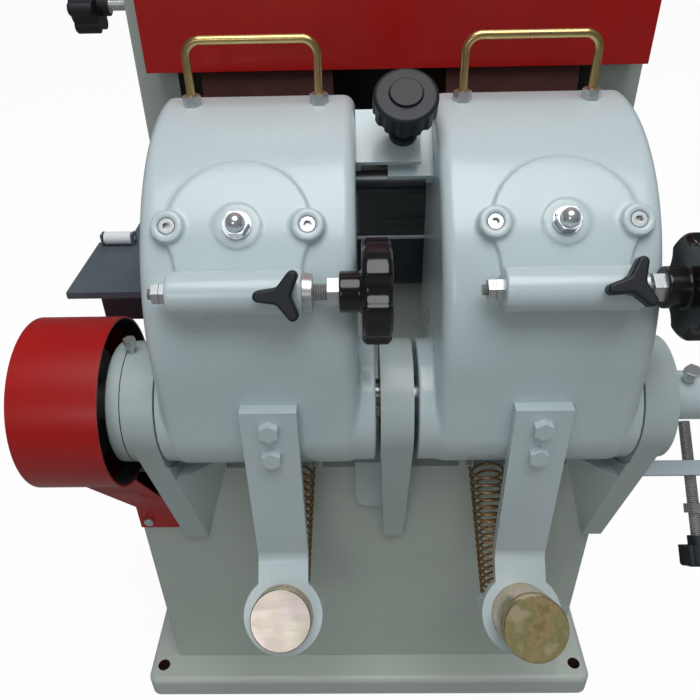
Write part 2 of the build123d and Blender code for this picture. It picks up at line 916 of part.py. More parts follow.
def feed_chain(side):
    x0, x1 = chain_x(side)
    centre = wheel_place(side)
    at = (centre.Y, centre.Z)
    low, high = shaft_sprocket_radius + sprocket_gap, wheel_sprocket_radius + chain_gap
    inner = loop_x(x0 - past, x1 + past, pivot, low, at, high)
    outer = loop_x(x0, x1, pivot, low + chain_thickness, at, high + chain_thickness)
    return outer - inner


def angle_screw_ends(side):
    plane = plate_plane(side)
    left = tube_axis(plane, -guide_tube_length / 2)
    right = tube_axis(plane, guide_tube_length / 2)
    return left, right


def angle_screw_set(side):
    left, right = angle_screw_ends(side)
    step = Vector(1, 0, 0)
    stub = per_head(wheel_stub, side)
    shoulder = left + step * (tail_inset + body_gap)
    screw = rod(shoulder, right + step * (stub + wheel_grip), angle_screw / 2)
    nuts = left - step * body_gap
    outer = nuts - step * (2 * tail_nut_height + body_gap)
    screw += rod(outer - step * tail_end, shoulder, tail_screw / 2)
    screw += hex_bar(nuts, nuts - step * tail_nut_height, tail_nut_flats)
    screw += hex_bar(outer, outer + step * tail_nut_height, tail_nut_flats)
    collar = right + step * body_gap
    screw += rod(collar, collar + step * per_head(collar_width, side), collar_radius)
    nut = right + step * (stub - lock_nut_height)
    return screw + hex_bar(nut, nut + step * lock_nut_height, lock_nut_flats)


def handwheel(side):
    _, right = angle_screw_ends(side)
    start = right + Vector(per_head(wheel_stub, side), 0, 0)
    face = Circle(handwheel_radius)
    for lobe in range(handwheel_lobes):
        turn = Rot(0, 0, handwheel_turn + 360 / handwheel_lobes * lobe)
        face -= turn * Pos(handwheel_radius + scallop_radius - scallop_depth, 0) * Circle(scallop_radius)
    rim = extrude(face, handwheel_width)
    rim = fillet(rim.edges().filter_by(Axis.Z), handwheel_corner)
    rim = chamfer(rim.faces().filter_by(Axis.Z).edges(), handwheel_edge)
    from_foot = (Align.CENTER, Align.CENTER, Align.MIN)
    wheel = Pos(0, 0, handwheel_hub_length) * rim
    wheel += Cylinder(handwheel_hub, handwheel_hub_length, align=from_foot)
    wheel -= Cylinder(angle_screw / 2, wheel_grip, align=from_foot)
    return Plane(origin=start, x_dir=(0, 1, 0), z_dir=(1, 0, 0)) * wheel


def handle_legs(side):
    x = head_x[side] + per_head(handle_shift, side)
    return x - handle_span / 2, x + handle_span / 2


def handle_seat():
    return crown_z + sqrt(crown_radius**2 - (handle_y - crown_y)**2)


def lift_handle(side):
    left, right = handle_legs(side)
    low = handle_seat() - head_wall
    high = handle_seat() + handle_rise - handle_rod / 2
    path = FilletPolyline((left, handle_y, low), (left, handle_y, high), (right, handle_y, high),
                          (right, handle_y, low), radius=handle_bend)
    bar = sweep(Plane(origin=path @ 0, z_dir=path % 0) * Circle(handle_rod / 2), path)
    nuts = []
    for x in (left, right):
        seat = handle_seat() - handle_nut_sink
        nut = hex_bar((x, handle_y, seat), (x, handle_y, seat + handle_nut_height), handle_nut_flats)
        nut -= rod((x, handle_y, seat - past), (x, handle_y, seat + handle_nut_height + past), handle_rod / 2)
        x0 = x - handle_nut_flats
        crown = side_profile(head_outline(0, head_rear_y), x0, x0 + 2 * handle_nut_flats)
        nuts.append(nut - crown)
    return [bar, *nuts]


# Press levers

def ring_frame(side):
    turn = radians(lever_bend_angle)
    x = per_head(lever_x, side)
    front = head_front - lever_thickness
    y = front - lever_ring_reach * sin(turn)
    z = lever_bend_z - lever_ring_reach * cos(turn)
    return leaning(x, y, z, lever_bend_angle)


def lever_profile(side):
    # the bar and its bent tail, seen from the side
    back = head_front
    front = back - lever_thickness
    turn = radians(lever_bend_angle)
    ring = ring_frame(side).origin
    behind = ring_frame(side).from_local_coords(Vector(0, 0, -lever_thickness))
    corner_z = lever_bend_z - lever_thickness * tan(turn / 2)
    inner = FilletPolyline((front, lever_top), (front, lever_bend_z), (ring.Y, ring.Z),
                           radius=lever_bend_radius)
    outer = FilletPolyline((behind.Y, behind.Z), (back, corner_z), (back, lever_top),
                           radius=lever_bend_radius + lever_thickness)
    return make_face([inner, Line(inner @ 1, outer @ 0), outer, Line(outer @ 1, inner @ 0)])


def press_lever(side):
    x = per_head(lever_x, side)
    back = head_front
    front = back - lever_thickness
    half = lever_width / 2
    plane = ring_frame(side)
    lever = side_profile(lever_profile(side), x - half, x + half)
    lever += plane * extrude(Circle(lever_ring_radius), -lever_thickness)
    lever -= plane * Cylinder(weight_radius + weight_gap, 6 * lever_thickness)
    for z in lever_bolt_z:
        lever -= rod((x, front - past, z), (x, back + past, z), lever_bolt_shank / 2 + lever_bolt_gap)
    return lever + lever_post(side)


def counterweight(side):
    out = per_head(weight_out, side)
    length = per_head(weight_length, side)
    weight = Pos(0, 0, out - length / 2) * Cylinder(weight_radius, length)
    weight = chamfer(weight.edges().filter_by(GeomType.CIRCLE), weight_chamfer)
    groove = Pos(0, 0, out - weight_lip - weight_groove_width / 2) * (
        Cylinder(weight_radius + past, weight_groove_width)
        - Cylinder(weight_radius - weight_groove, weight_groove_width))
    return ring_frame(side) * (weight - groove)


# Balance springs: a round wire wound on half-turn biarcs, with straight closed ends

def spring_axes(side):
    top, bottom = spring_line(side)
    axis = (bottom - top).normalized()
    forward = axis.cross(Vector(1, 0, 0)).normalized()
    outward = forward.cross(axis).normalized()
    return top, bottom, axis, outward * (-side if outward.X > 0 else side), forward


def coil_point(side, turn):
    top, bottom, axis, first, second = spring_axes(side)
    length = (bottom - top).length
    angle = 2 * pi * turn
    place = top + axis * (length * turn / spring_turns)
    return place + (first * cos(angle) + second * sin(angle)) * spring_radius


def coil_tangent(side, turn):
    top, bottom, axis, first, second = spring_axes(side)
    angle = 2 * pi * turn
    rise = (bottom - top).length / spring_turns
    if turn in (0, spring_turns):
        rise = 0.0
    return ((second * cos(angle) - first * sin(angle)) * (2 * pi * spring_radius) + axis * rise).normalized()


def biarc(p0, t0, p1, t1):
    chord = p1 - p0
    both = t0 + t1
    spread = 2 * (1 - t0.dot(t1))
    reach = (-chord.dot(both) + sqrt(chord.dot(both)**2 + spread * chord.dot(chord))) / spread
    joint = (p0 + p1 + (t0 - t1) * reach) * 0.5
    first = TangentArc(p0, joint, tangent=t0)
    return [first, TangentArc(joint, p1, tangent=first % 1)]


def spring_wire_path(side):
    edges = []
    steps = 2 * spring_turns
    for step in range(steps):
        a, b = step / 2, (step + 1) / 2
        edges += biarc(coil_point(side, a), coil_tangent(side, a), coil_point(side, b), coil_tangent(side, b))
    start, lead = coil_point(side, 0), coil_tangent(side, 0)
    end, trail = coil_point(side, spring_turns), coil_tangent(side, spring_turns)
    return [Line(start - lead * spring_straight, start), *edges, Line(end, end + trail * spring_straight)]


def spring_gap(edges):
    points = [(edge @ (k / 4), 4 * n + k) for n, edge in enumerate(edges) for k in range(4)]
    apart = 14
    gaps = [(p - q).length for p, i in points for q, j in points if j > i + apart]
    return min(gaps) - spring_wire


def press_spring(side):
    edges = spring_wire_path(side)
    path = Wire(edges)
    print("spring self gap", round(spring_gap(edges), 2), "mm")
    return sweep(Plane(origin=path @ 0, z_dir=path % 0) * Circle(spring_wire / 2), path)


def spring_perch(side):
    start, lead = coil_point(side, 0), coil_tangent(side, 0)
    end = start - lead * spring_straight
    reach = (cabinet_front + perch_depth / 2 - end.Y) / -lead.Y
    foot = end - lead * reach
    x0, x1 = foot.X - perch_width / 2, foot.X + perch_width / 2
    perch = box(x0, x1, cabinet_front, cabinet_front + perch_depth, cabinet_top - cabinet_wall,
                foot.Z + perch_rise)
    return perch + rod(end, foot, stud_radius)


def lever_post(side):
    # a bent post from the back of the ring, past the weight's side, to the spring's lower end
    end, trail = coil_point(side, spring_turns), coil_tangent(side, spring_turns)
    tip = end + trail * spring_straight
    elbow = tip + trail * (2 * stud_radius)
    plane = ring_frame(side)
    depth = plane.to_local_coords(elbow)
    beside = plane.from_local_coords(Vector(-side * post_offset, depth.Y, depth.Z))
    foot = plane.from_local_coords(Vector(-side * post_offset, depth.Y, stud_root - lever_thickness))
    post = rod(tip, elbow, stud_radius) + rod(elbow, beside, stud_radius) + rod(beside, foot, stud_radius)
    for corner in (elbow, beside):
        post += Pos(*corner) * Sphere(stud_radius)
    return post


# Link between the heads

def link_plane(x):
    return leaning(x, link_y, link_z, link_lean)


def link_x():
    return heads_middle + link_offset


def link_place(side):
    # the right bracket lies lower and further forward than the left one
    return (0.0, 0.0) if side < 0 else (link_step, link_forward)


def link_bracket(side):
    wall = heads_middle + side * inner_wall
    tip = wall - side * per_head(link_reach, side)
    drop, forward = link_place(side)
    low = -drop - link_thickness
    plate = Box(abs(wall - tip), link_length, link_thickness)
    flange = Box(link_thickness, link_flange_width, link_flange)
    flange = fillet(flange.edges().filter_by(Axis.X).group_by(Axis.Z)[0], link_flange_corner)
    angle = Pos((wall + tip) / 2, -forward, low + link_thickness / 2) * plate
    angle += Pos(wall - side * link_thickness / 2, -forward, low - link_flange / 2) * flange
    angle -= Pos(link_x(), 0, low) * Cylinder(link_screw / 2 + screw_gap, 4 * link_thickness)
    return link_plane(0) * angle


def link_bolt(side):
    drop, forward = link_place(side)
    face = heads_middle + side * (inner_wall - link_thickness)
    place = Vector(face, -forward, -drop - link_thickness - link_bolt_drop)
    start = link_plane(0).from_local_coords(place)
    return hex_bar(start, start - Vector(side * link_bolt_height, 0, 0), link_bolt_flats)


def link_knob():
    low = body_gap + link_neck
    knob = Pos(0, 0, low + link_knob_height / 2) * Cylinder(link_knob_radius, link_knob_height)
    knob = fillet(knob.edges().filter_by(GeomType.CIRCLE).sort_by(Axis.Z)[-1:], link_knob_edge)
    for flute in range(link_knob_flutes):
        turn = Rot(0, 0, 360 / link_knob_flutes * flute)
        place = Pos(link_knob_radius + link_flute / 2, 0, low + link_knob_height / 2 - link_flute)
        knob -= turn * place * Cylinder(link_flute, link_knob_height)
    top = low + link_knob_height
    knob += Pos(0, 0, top) * Cylinder(link_cap_radius, 2 * link_cap_rise)
    knob += Pos(0, 0, body_gap + link_collar_height / 2) * Cylinder(link_collar_radius, link_collar_height)
    knob += Pos(0, 0, body_gap + link_neck / 2) * Cylinder(link_neck_radius, link_neck)
    nut_top = -link_step - link_thickness - body_gap
    below = nut_top - link_screw_tail
    knob += Pos(0, 0, (below + low) / 2) * Cylinder(link_screw / 2, low - below)
    nut = Pos(0, 0, nut_top - link_nut_height) * hex_prism(link_nut_flats, link_nut_height)
    return link_plane(link_x()) * (knob + nut)


# Drive line

def drive_shaft():
    shaft = rod_x(guard_end + 2 * guard_sheet, boss_right[1] - guard_sheet, pivot, shaft_radius)
    shaft = chamfer(shaft.edges().filter_by(GeomType.CIRCLE), shaft_chamfer)
    for side, _ in sides:
        x0, x1 = chain_x(side)
        shaft += sprocket(x0, x1, pivot, shaft_sprocket_radius, shaft_sprocket_teeth)
    return shaft


def grooved_pulley(x0, x1, at, radius, bore):
    pulley = ring_x(x0, x1, at, radius, bore)
    middle = (x0 + x1) / 2
    half = vee_belt_width / 2 + vee_groove_gap
    groove = ring_x(middle - half, middle + half, at, radius + past, radius - vee_belt)
    return pulley - groove


def shaft_pulley():
    return grooved_pulley(pulley_x, pulley_x + pulley_width, pivot, shaft_pulley_radius, shaft_radius)


def feed_motor_pulley():
    x0, x1 = pulley_x, pulley_x + pulley_width
    inside = motor_left + motor_shaft_depth - past
    return grooved_pulley(x0, x1, motor, motor_pulley_radius, motor_shaft / 4) + rod_x(
        x0 + past, inside, motor, motor_shaft / 2)


def motor_body(x0, x1, at, radius, fins):
    body = rod_x(x0, x1, at, radius)
    body = fillet(body.edges().filter_by(GeomType.CIRCLE), motor_edge)
    span = x1 - x0 - 2 * fin_margin
    for fin in range(fins):
        turn = 2 * pi * fin / fins
        y = at[0] + (radius + fin_stand) * cos(turn)
        z = at[1] + (radius + fin_stand) * sin(turn)
        bar = Rot(360 * fin / fins, 0, 0) * Box(span, fin_height, fin_thickness)
        body += Pos((x0 + x1) / 2, y, z) * bar
    return body


def feed_motor():
    x0, x1 = motor_left, motor_left + motor_length
    body = motor_body(x0, x1, motor, motor_radius, motor_fins)
    foot_x = (x0 + motor_foot_inset, x1 - motor_foot_inset)
    foot_y = (motor_y - motor_radius, motor_y + motor_radius)
    body += box(*foot_x, *foot_y, base_height, motor_z - motor_radius / 2)
    return body - rod_x(x0 - past, x0 + motor_shaft_depth, motor, motor_shaft / 2 + running_gap)


def sander_x():
    return vee_x - sander_belt_gap - sander_length, vee_x - sander_belt_gap


def sanding_motor():
    x0, x1 = sander_x()
    body = motor_body(x0, x1, sander, sander_radius, sander_fins)
    foot_x = (x0 + motor_foot_inset, x1 - motor_foot_inset)
    body += box(*foot_x, sander_y - sander_foot, sander_y + sander_foot, cabinet_top,
                sander_z - sander_radius / 2)
    return body - rod_x(x1 - motor_shaft_depth, x1 + past, sander, sander_shaft / 2 + running_gap)


def sanding_motor_pulley():
    _, end = sander_x()
    x0, x1 = vee_x - pulley_flange, vee_x + vee_belt_width + pulley_flange
    pulley = grooved_pulley(x0, x1, sander, sander_pulley_radius, sander_shaft / 4)
    return pulley + rod_x(end - motor_shaft_depth + past, x1 - past, sander, sander_shaft / 2)


def vee_belt_loop(x0, first, r1, second, r2):
    x1 = x0 + vee_belt_width
    sunk = vee_belt - body_gap
    inner = loop_x(x0 - past, x1 + past, first, r1 - sunk, second, r2 - sunk)
    outer = loop_x(x0, x1, first, r1 + vee_belt_proud, second, r2 + vee_belt_proud)
    return outer - inner


def drive_belts():
    feed_x = pulley_x + (pulley_width - vee_belt_width) / 2
    feed = vee_belt_loop(feed_x, pivot, shaft_pulley_radius, motor, motor_pulley_radius)
    return [feed, vee_belt_loop(vee_x, contact, roller_pulley_radius, sander, sander_pulley_radius)]


def belt_guard():
    side_x = -cabinet_side - guard_side_gap
    hull = (pivot, guard_radius, motor, guard_tail_radius)
    cover = rod_x(guard_end, guard_open, pivot, guard_radius) + loop_x(guard_end, side_x, *hull)
    inner = (pivot, guard_radius - guard_sheet, motor, guard_tail_radius - guard_sheet)
    cover -= rod_x(guard_end + guard_sheet, guard_open + past, pivot, guard_radius - guard_sheet)
    cover -= loop_x(guard_end + guard_sheet, side_x + past, *inner)
    tab_low = cabinet_top - guard_tab_drop
    tab_high = tab_low + guard_tab_height
    tab_x = (-cabinet_side, -cabinet_side + guard_tab_width)
    tab = box(*tab_x, cabinet_front - guard_sheet, cabinet_front, tab_low, tab_high)
    reach = guard_skirt_reach
    top_z = pivot_z - sqrt(guard_radius**2 - reach**2) + guard_sheet / 2
    top_y = pivot_y - reach
    skirt_x = (guard_end + guard_skirt_inset, guard_open)
    upper = quad(skirt_x, top_y - guard_sheet, skirt_x, top_y, top_z)
    lower = quad(tab_x, cabinet_front - guard_sheet, tab_x, cabinet_front, tab_high)
    return cover + tab + loft([upper, lower], ruled=True)


# Belt frame, rollers, belts and hood

def post(x0, x1):
    y0, y1 = post_front_y, post_front_y + post_depth
    tube = box(x0, x1, y0, y1, cabinet_top, post_top)
    tube -= box(x0 + post_wall, x1 - post_wall, y0 + post_wall, y1 - post_wall, cabinet_top + post_foot,
                post_top - post_wall)
    for at in (contact, tension):
        tube += rod_x(x0, x1, at, bearing_boss)
        tube -= rod_x(x0 - past, x1 + past, at, roller_shaft / 2 + running_gap)
    return tube


def belt_frame():
    left = post(post_left, post_left + post_width)
    right = post(post_right - post_width, post_right)
    y1 = post_front_y + post_depth
    inner = (post_left + post_width, post_right - post_width)
    bar = box(*inner, y1 - post_wall, y1, cross_bar_z, cross_bar_z + cross_bar)
    top = box(*inner, post_front_y, y1, post_top - 2 * post_wall, post_top)
    at = (tracking_y, tracking_z)
    hole = rod_x(post_left - past, post_left + post_wall + past, at, tracking_screw / 2 + running_gap)
    return left + right + bar + top - hole


def roller(at, radius):
    body = rod_x(post_left - roller_overhang, post_right + roller_overhang, at, roller_shaft / 2)
    body = chamfer(body.edges().filter_by(GeomType.CIRCLE), 1)
    for side, _ in sides:
        x = head_x[side]
        body += rod_x(x - roller_length / 2, x + roller_length / 2, at, radius)
    return body


def contact_roller():
    body = roller(contact, contact_radius)
    x0, x1 = vee_x - pulley_flange, vee_x + vee_belt_width + pulley_flange
    return body + grooved_pulley(x0, x1, contact, roller_pulley_radius, roller_shaft / 4)


def sanding_belts():
    belts = []
    for side, _ in sides:
        x0 = head_x[side] - belt_width / 2
        x1 = x0 + belt_width
        inner = loop_x(x0 - past, x1 + past, contact, contact_radius + body_gap,
                       tension, tension_radius + body_gap)
        grow = body_gap + belt_thickness
        belts.append(loop_x(x0, x1, contact, contact_radius + grow, tension, tension_radius + grow) - inner)
    return belts


def belt_hood():
    middle = heads_middle + hood_shift
    x0, x1 = middle - hood_half_width, middle + hood_half_width
    hood = box(x0, x1, hood_front_y, hood_rear_y, hood_bottom, hood_top)
    hood -= box(x0 + hood_sheet, x1 - hood_sheet, hood_front_y + hood_sheet, hood_rear_y - hood_sheet,
                hood_bottom - past, hood_top - hood_sheet)
    y0, y1 = post_front_y, post_front_y + post_depth
    for left in (post_left, post_right - post_width):
        hood -= box(left, left + post_width, y0, y1, hood_bottom - past, post_top)
    tail = box(x0, x1, hood_rear_y - hood_sheet, hood_rear_y, hood_bottom - hood_tail, hood_bottom)
    return hood + tail


# Infeed table, guide roller and work rest

def table_lug(x):
    top = table_top + 2 * guide_roller_radius
    return box(x, x + lug_width, guide_roller_y - guide_pin, guide_roller_y + guide_pin, table_top, top)


def guide_axis_z():
    return table_top + guide_roller_radius + guide_roller_gap


def infeed_table():
    low = table_top - table_thickness
    table = box(table_left, table_right, table_front_y, table_step_y, low, table_top)
    table += box(table_tongue_left, post_left, table_step_y, table_rear_y, low, table_top)
    table += box(post_left, table_right, table_step_y, post_front_y, low, table_top)
    block = box(table_left + table_block_inset, table_right, table_front_y + table_block_setback,
                post_front_y, low - table_block, low)
    table += block - box(table_left, post_left, post_front_y - table_block_notch, post_front_y + past, 0, low)
    x0 = guide_roller_left - lug_gap - lug_width
    x1 = guide_roller_left + guide_roller_length + lug_gap
    table += table_lug(x0) + table_lug(x1)
    axis = (guide_roller_y, guide_axis_z())
    table -= rod_x(x0 - past, x1 + lug_width + past, axis, guide_pin / 2 + running_gap)
    return table


def guide_roller():
    axis = (guide_roller_y, guide_axis_z())
    end = guide_roller_left + guide_roller_length
    roll = rod_x(guide_roller_left, end, axis, guide_roller_radius)
    roll = chamfer(roll.edges().filter_by(GeomType.CIRCLE), 1)
    reach = lug_gap + lug_width
    return roll + rod_x(guide_roller_left - reach, end + reach, axis, guide_pin / 2)


def work_rest():
    y1 = rest_front_y + rest_thickness
    right = post_right - post_width
    bar = box(table_right, right + rest_arm, rest_front_y, y1, rest_top - rest_height, rest_top)
    bar = chamfer(bar.edges().filter_by(Axis.X).sort_by(Axis.Z)[-2:], rest_chamfer)
    low = rest_top - rest_height
    arm = box(right, right + rest_arm, rest_front_y, post_front_y, low, rest_top - rest_arm_step)
    return bar + arm


# Knobs and the support arm

def knob_outline(radius, lobes):
    face = Circle(radius * knob_core_share)
    grip = radius * knob_lobe_share
    for lobe in range(lobes):
        face += Rot(0, 0, 360 / lobes * lobe) * (Pos(radius - grip, 0) * Circle(grip))
    return face


def tracking_knob():
    at = (tracking_y, tracking_z)
    start = post_left - tracking_reach
    screw = rod_x(start + tracking_seat, post_left + post_wall + tracking_tip, at, tracking_screw / 2)
    neck_x = start + tracking_knob_width
    neck = rod_x(neck_x, neck_x + tracking_neck, at, tracking_neck)
    body = extrude(knob_outline(tracking_knob_radius, tracking_lobes), tracking_knob_width)
    body = chamfer(body.faces().sort_by(Axis.Z)[0].edges(), knob_chamfer)
    plane = Plane(origin=(start, *at), x_dir=(0, 1, 0), z_dir=(1, 0, 0))
    return plane * body + neck + screw


def arm_plane():
    return leaning(0, arm_y, arm_z, arm_lean)


def stub_tube():
    end = boss_right[1] + stub_length
    stub = ring_x(boss_right[1], end, pivot, stub_radius, stub_radius - stub_wall)
    low, top, _ = stub_bolt_line()
    return stub - rod(low, top, lock_bolt / 2)


def support_arm():
    screw_x = cabinet_side + arm_length - arm_screw_inset
    bar = Pos(cabinet_side + arm_length / 2, 0, 0) * Box(arm_length, arm_section, arm_thickness)
    bar -= Pos(screw_x, 0, 0) * Cylinder(arm_screw / 2 + running_gap, 4 * arm_thickness)
    return arm_plane() * bar


def stub_bolt_line():
    x = boss_right[1] + stub_bolt_inset
    out = radians(stub_bolt_lean)
    axis = Vector(0, -sin(out), cos(out))
    low = Vector(x, pivot_y, pivot_z) + axis * (stub_radius - stub_wall)
    return low, low + axis * (stub_wall + stub_bolt_rise), axis


def support_knob():
    x = cabinet_side + arm_length - arm_screw_inset
    length = arm_screw_up + arm_screw_down
    screw = Pos(0, 0, (arm_screw_down - arm_screw_up) / 2) * Cylinder(arm_screw / 2, length)
    nut = Pos(0, 0, arm_thickness / 2 + arm_nut_rise) * hex_prism(arm_nut_flats, arm_nut_height)
    knob = extrude(knob_outline(arm_knob_radius, arm_knob_lobes), arm_knob_height)
    knob = chamfer(knob.faces().sort_by(Axis.Z)[-1].edges(), knob_chamfer)
    knob += Pos(0, 0, -arm_knob_neck / 2) * Cylinder(arm_knob_neck, arm_knob_neck)
    knob = Pos(0, 0, arm_screw_down - arm_knob_height) * knob
    return arm_plane() * Pos(x, 0, 0) * (screw + nut + knob)


def boss_bolt_line():
    x = boss_left[0] + boss_bolt_inset
    out = radians(boss_bolt_lean)
    axis = Vector(0, -sin(out), cos(out))
    low = Vector(x, pivot_y, pivot_z) + axis * (boss_radius - boss_bolt_depth)
    return low, low + axis * (boss_bolt_depth + boss_bolt_rise), axis


def lock_bolts():
    bolts = []
    for line, shank, flats in ((stub_bolt_line(), lock_bolt, lock_bolt_flats),
                               (boss_bolt_line(), boss_bolt, boss_bolt_flats)):
        low, top, axis = line
        head = hex_bar(top, top + axis * lock_bolt_height, flats)
        bolts.append(rod(low, top, shank / 2) + head)
    return bolts


save("base_plate", base_plate())
save("cabinet", cabinet())
save("rear_panel", rear_panel())
save("cover_screws", *cover_screws())
save("bracket_left", bracket_left())
save("bracket_middle", bracket_middle())
save("bracket_right", bracket_right())
save("bearing_cap", bearing_cap())
save("lock_bolts", *lock_bolts())
save("belt_guard", belt_guard())
save("feed_motor", feed_motor())
save("drive_belts", *drive_belts())
save("infeed_table", infeed_table())
save("work_rest", work_rest())
save("belt_frame", belt_frame())
save("belt_hood", belt_hood())
save("sanding_motor", sanding_motor())
save("sanding_belts", *sanding_belts())
save("stub_tube", stub_tube())
save("support_arm", support_arm())
save("drive_shaft", drive_shaft())
save("shaft_pulley", shaft_pulley())
save("feed_motor_pulley", feed_motor_pulley())
save("contact_roller", contact_roller())
save("tension_roller", roller(tension, tension_radius))
save("sanding_motor_pulley", sanding_motor_pulley())
save("guide_roller", guide_roller())
save("tracking_knob", tracking_knob())
save("support_knob", support_knob())
save("link_knob", link_knob())
for side, name in sides:
    save(f"head_housing_{name}", head_housing(side))
    save(f"cover_plate_{name}", cover_plate(side))
    save(f"head_screws_{name}", *head_screws(side))
    save(f"lift_handle_{name}", *lift_handle(side))
    save(f"press_lever_{name}", press_lever(side))
    save(f"link_bracket_{name}", link_bracket(side))
    save(f"press_spring_{name}", press_spring(side))
    save(f"feed_chain_{name}", feed_chain(side))
    save(f"wheel_yoke_{name}", wheel_yoke(side))
    save(f"swivel_nut_{name}", swivel_nut(side))
    save(f"feed_wheel_{name}", feed_wheel(side))
    save(f"counterweight_{name}", counterweight(side))
    save(f"angle_screw_{name}", angle_screw_set(side))
    save(f"handwheel_{name}", handwheel(side))
    save(f"lobed_knob_{name}", lobed_knob(side))
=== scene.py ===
import bmesh
import bpy
import json
from math import cos, hypot, radians, sin, tau
from mathutils import Matrix, Vector


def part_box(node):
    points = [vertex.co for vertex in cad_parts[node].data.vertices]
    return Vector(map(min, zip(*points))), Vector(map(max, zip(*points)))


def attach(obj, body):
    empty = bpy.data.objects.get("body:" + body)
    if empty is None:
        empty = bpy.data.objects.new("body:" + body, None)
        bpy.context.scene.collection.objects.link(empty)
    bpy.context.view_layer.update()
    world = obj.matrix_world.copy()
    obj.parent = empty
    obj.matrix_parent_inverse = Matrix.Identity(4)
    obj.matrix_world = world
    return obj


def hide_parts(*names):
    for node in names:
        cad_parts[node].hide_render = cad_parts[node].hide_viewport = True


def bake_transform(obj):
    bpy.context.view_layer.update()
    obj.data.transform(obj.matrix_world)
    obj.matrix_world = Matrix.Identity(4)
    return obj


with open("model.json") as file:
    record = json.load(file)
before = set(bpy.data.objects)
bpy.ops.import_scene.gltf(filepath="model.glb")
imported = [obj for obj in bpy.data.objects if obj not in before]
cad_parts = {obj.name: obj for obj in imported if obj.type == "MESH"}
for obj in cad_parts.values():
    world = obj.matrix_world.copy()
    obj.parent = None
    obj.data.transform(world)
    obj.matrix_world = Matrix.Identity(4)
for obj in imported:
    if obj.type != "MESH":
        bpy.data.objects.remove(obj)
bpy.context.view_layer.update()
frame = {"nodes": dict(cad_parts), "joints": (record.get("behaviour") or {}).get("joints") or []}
nodes = frame["nodes"]
boxes = {name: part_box(name) for name in nodes}
joints = {joint["name"]: joint for joint in frame["joints"]}
shaft = Vector(joints["shaft_spin"]["pos_m"])  # both heads hang on this shaft
heads = ("left", "right")
mm = 0.001
print("frame loaded with", len(nodes), "nodes")

mixInputs, mixResult = (0, 6, 7), 2  # where a colour mix has its factor, its two colours and its result


# a number or a colour is set on the socket, and anything else is linked to it
def plug(tree, socket, value):
    if isinstance(value, (int, float)):
        socket.default_value = value
    elif isinstance(value, tuple):
        socket.default_value = (*value, 1.0)
    else:
        tree.links.new(value, socket)


def addMath(tree, operation, first, second=0.0, clamp=False):
    node = tree.nodes.new("ShaderNodeMath")
    node.operation = operation
    node.use_clamp = clamp
    plug(tree, node.inputs[0], first)
    plug(tree, node.inputs[1], second)
    return node.outputs[0]


def addVectorMath(tree, operation, first, second):
    node = tree.nodes.new("ShaderNodeVectorMath")
    node.operation = operation
    tree.links.new(first, node.inputs[0])
    tree.links.new(second, node.inputs[1])
    return node.outputs["Value" if operation == "DOT_PRODUCT" else "Vector"]


def addNoise(tree, vector, scale, detail, rough=0.55):
    node = tree.nodes.new("ShaderNodeTexNoise")
    tree.links.new(vector, node.inputs["Vector"])
    for label, value in (("Scale", scale), ("Detail", detail), ("Roughness", rough)):
        plug(tree, node.inputs[label], value)
    return node.outputs["Fac"]


def addRange(tree, value, low, high, toLow=0.0, toHigh=1.0):
    node = tree.nodes.new("ShaderNodeMapRange")
    tree.links.new(value, node.inputs["Value"])
    for label, number in (("From Min", low), ("From Max", high), ("To Min", toLow), ("To Max", toHigh)):
        node.inputs[label].default_value = number
    return node.outputs["Result"]


def addMix(tree, factor, first, second):
    node = tree.nodes.new("ShaderNodeMix")
    node.data_type = "RGBA"
    for place, value in zip(mixInputs, (factor, first, second)):
        plug(tree, node.inputs[place], value)
    return node.outputs[mixResult]


# a group takes the surface's place and some values of its own, and puts out masks and heights
def newGroup(name, inputs, outputs):
    tree = bpy.data.node_groups.new(name, "ShaderNodeTree")
    tree.interface.new_socket("Vector", in_out="INPUT", socket_type="NodeSocketVector")
    for label, value in inputs.items():
        kind = "NodeSocketVector" if isinstance(value, tuple) else "NodeSocketFloat"
        tree.interface.new_socket(label, in_out="INPUT", socket_type=kind).default_value = value
    for label in outputs:
        tree.interface.new_socket(label, in_out="OUTPUT", socket_type="NodeSocketFloat")
    return tree, tree.nodes.new("NodeGroupInput"), tree.nodes.new("NodeGroupOutput")


# in these dictionaries a noise has its scale and detail, and a span has the values taken to 0 and 1
skinSpec = dict(peelScale=260.0, peelDetail=2.0, blotch=(7.0, 4.0), blotchSpan=(0.3, 0.7),
                speck=(420.0, 1.0), speckSpan=(0.7, 0.76))


def paintSkinGroup(spec):
    tree, source, sink = newGroup("paintSkin", {"Peel Scale": spec["peelScale"]}, ["Tone", "Peel", "Speck"])
    vector = source.outputs["Vector"]
    blotch = addNoise(tree, vector, *spec["blotch"])
    peel = addNoise(tree, vector, source.outputs["Peel Scale"], spec["peelDetail"])
    speck = addNoise(tree, vector, *spec["speck"])
    tree.links.new(addRange(tree, blotch, *spec["blotchSpan"]), sink.inputs["Tone"])
    tree.links.new(peel, sink.inputs["Peel"])
    tree.links.new(addRange(tree, speck, *spec["speckSpan"]), sink.inputs["Speck"])
    return tree


rubAndGlintSpec = dict(amount=0.5, radius=2.0, samples=4, bendSpan=(0.99, 0.8), patch=(60.0, 4.0),
               patchSpan=(0.45, 0.62))
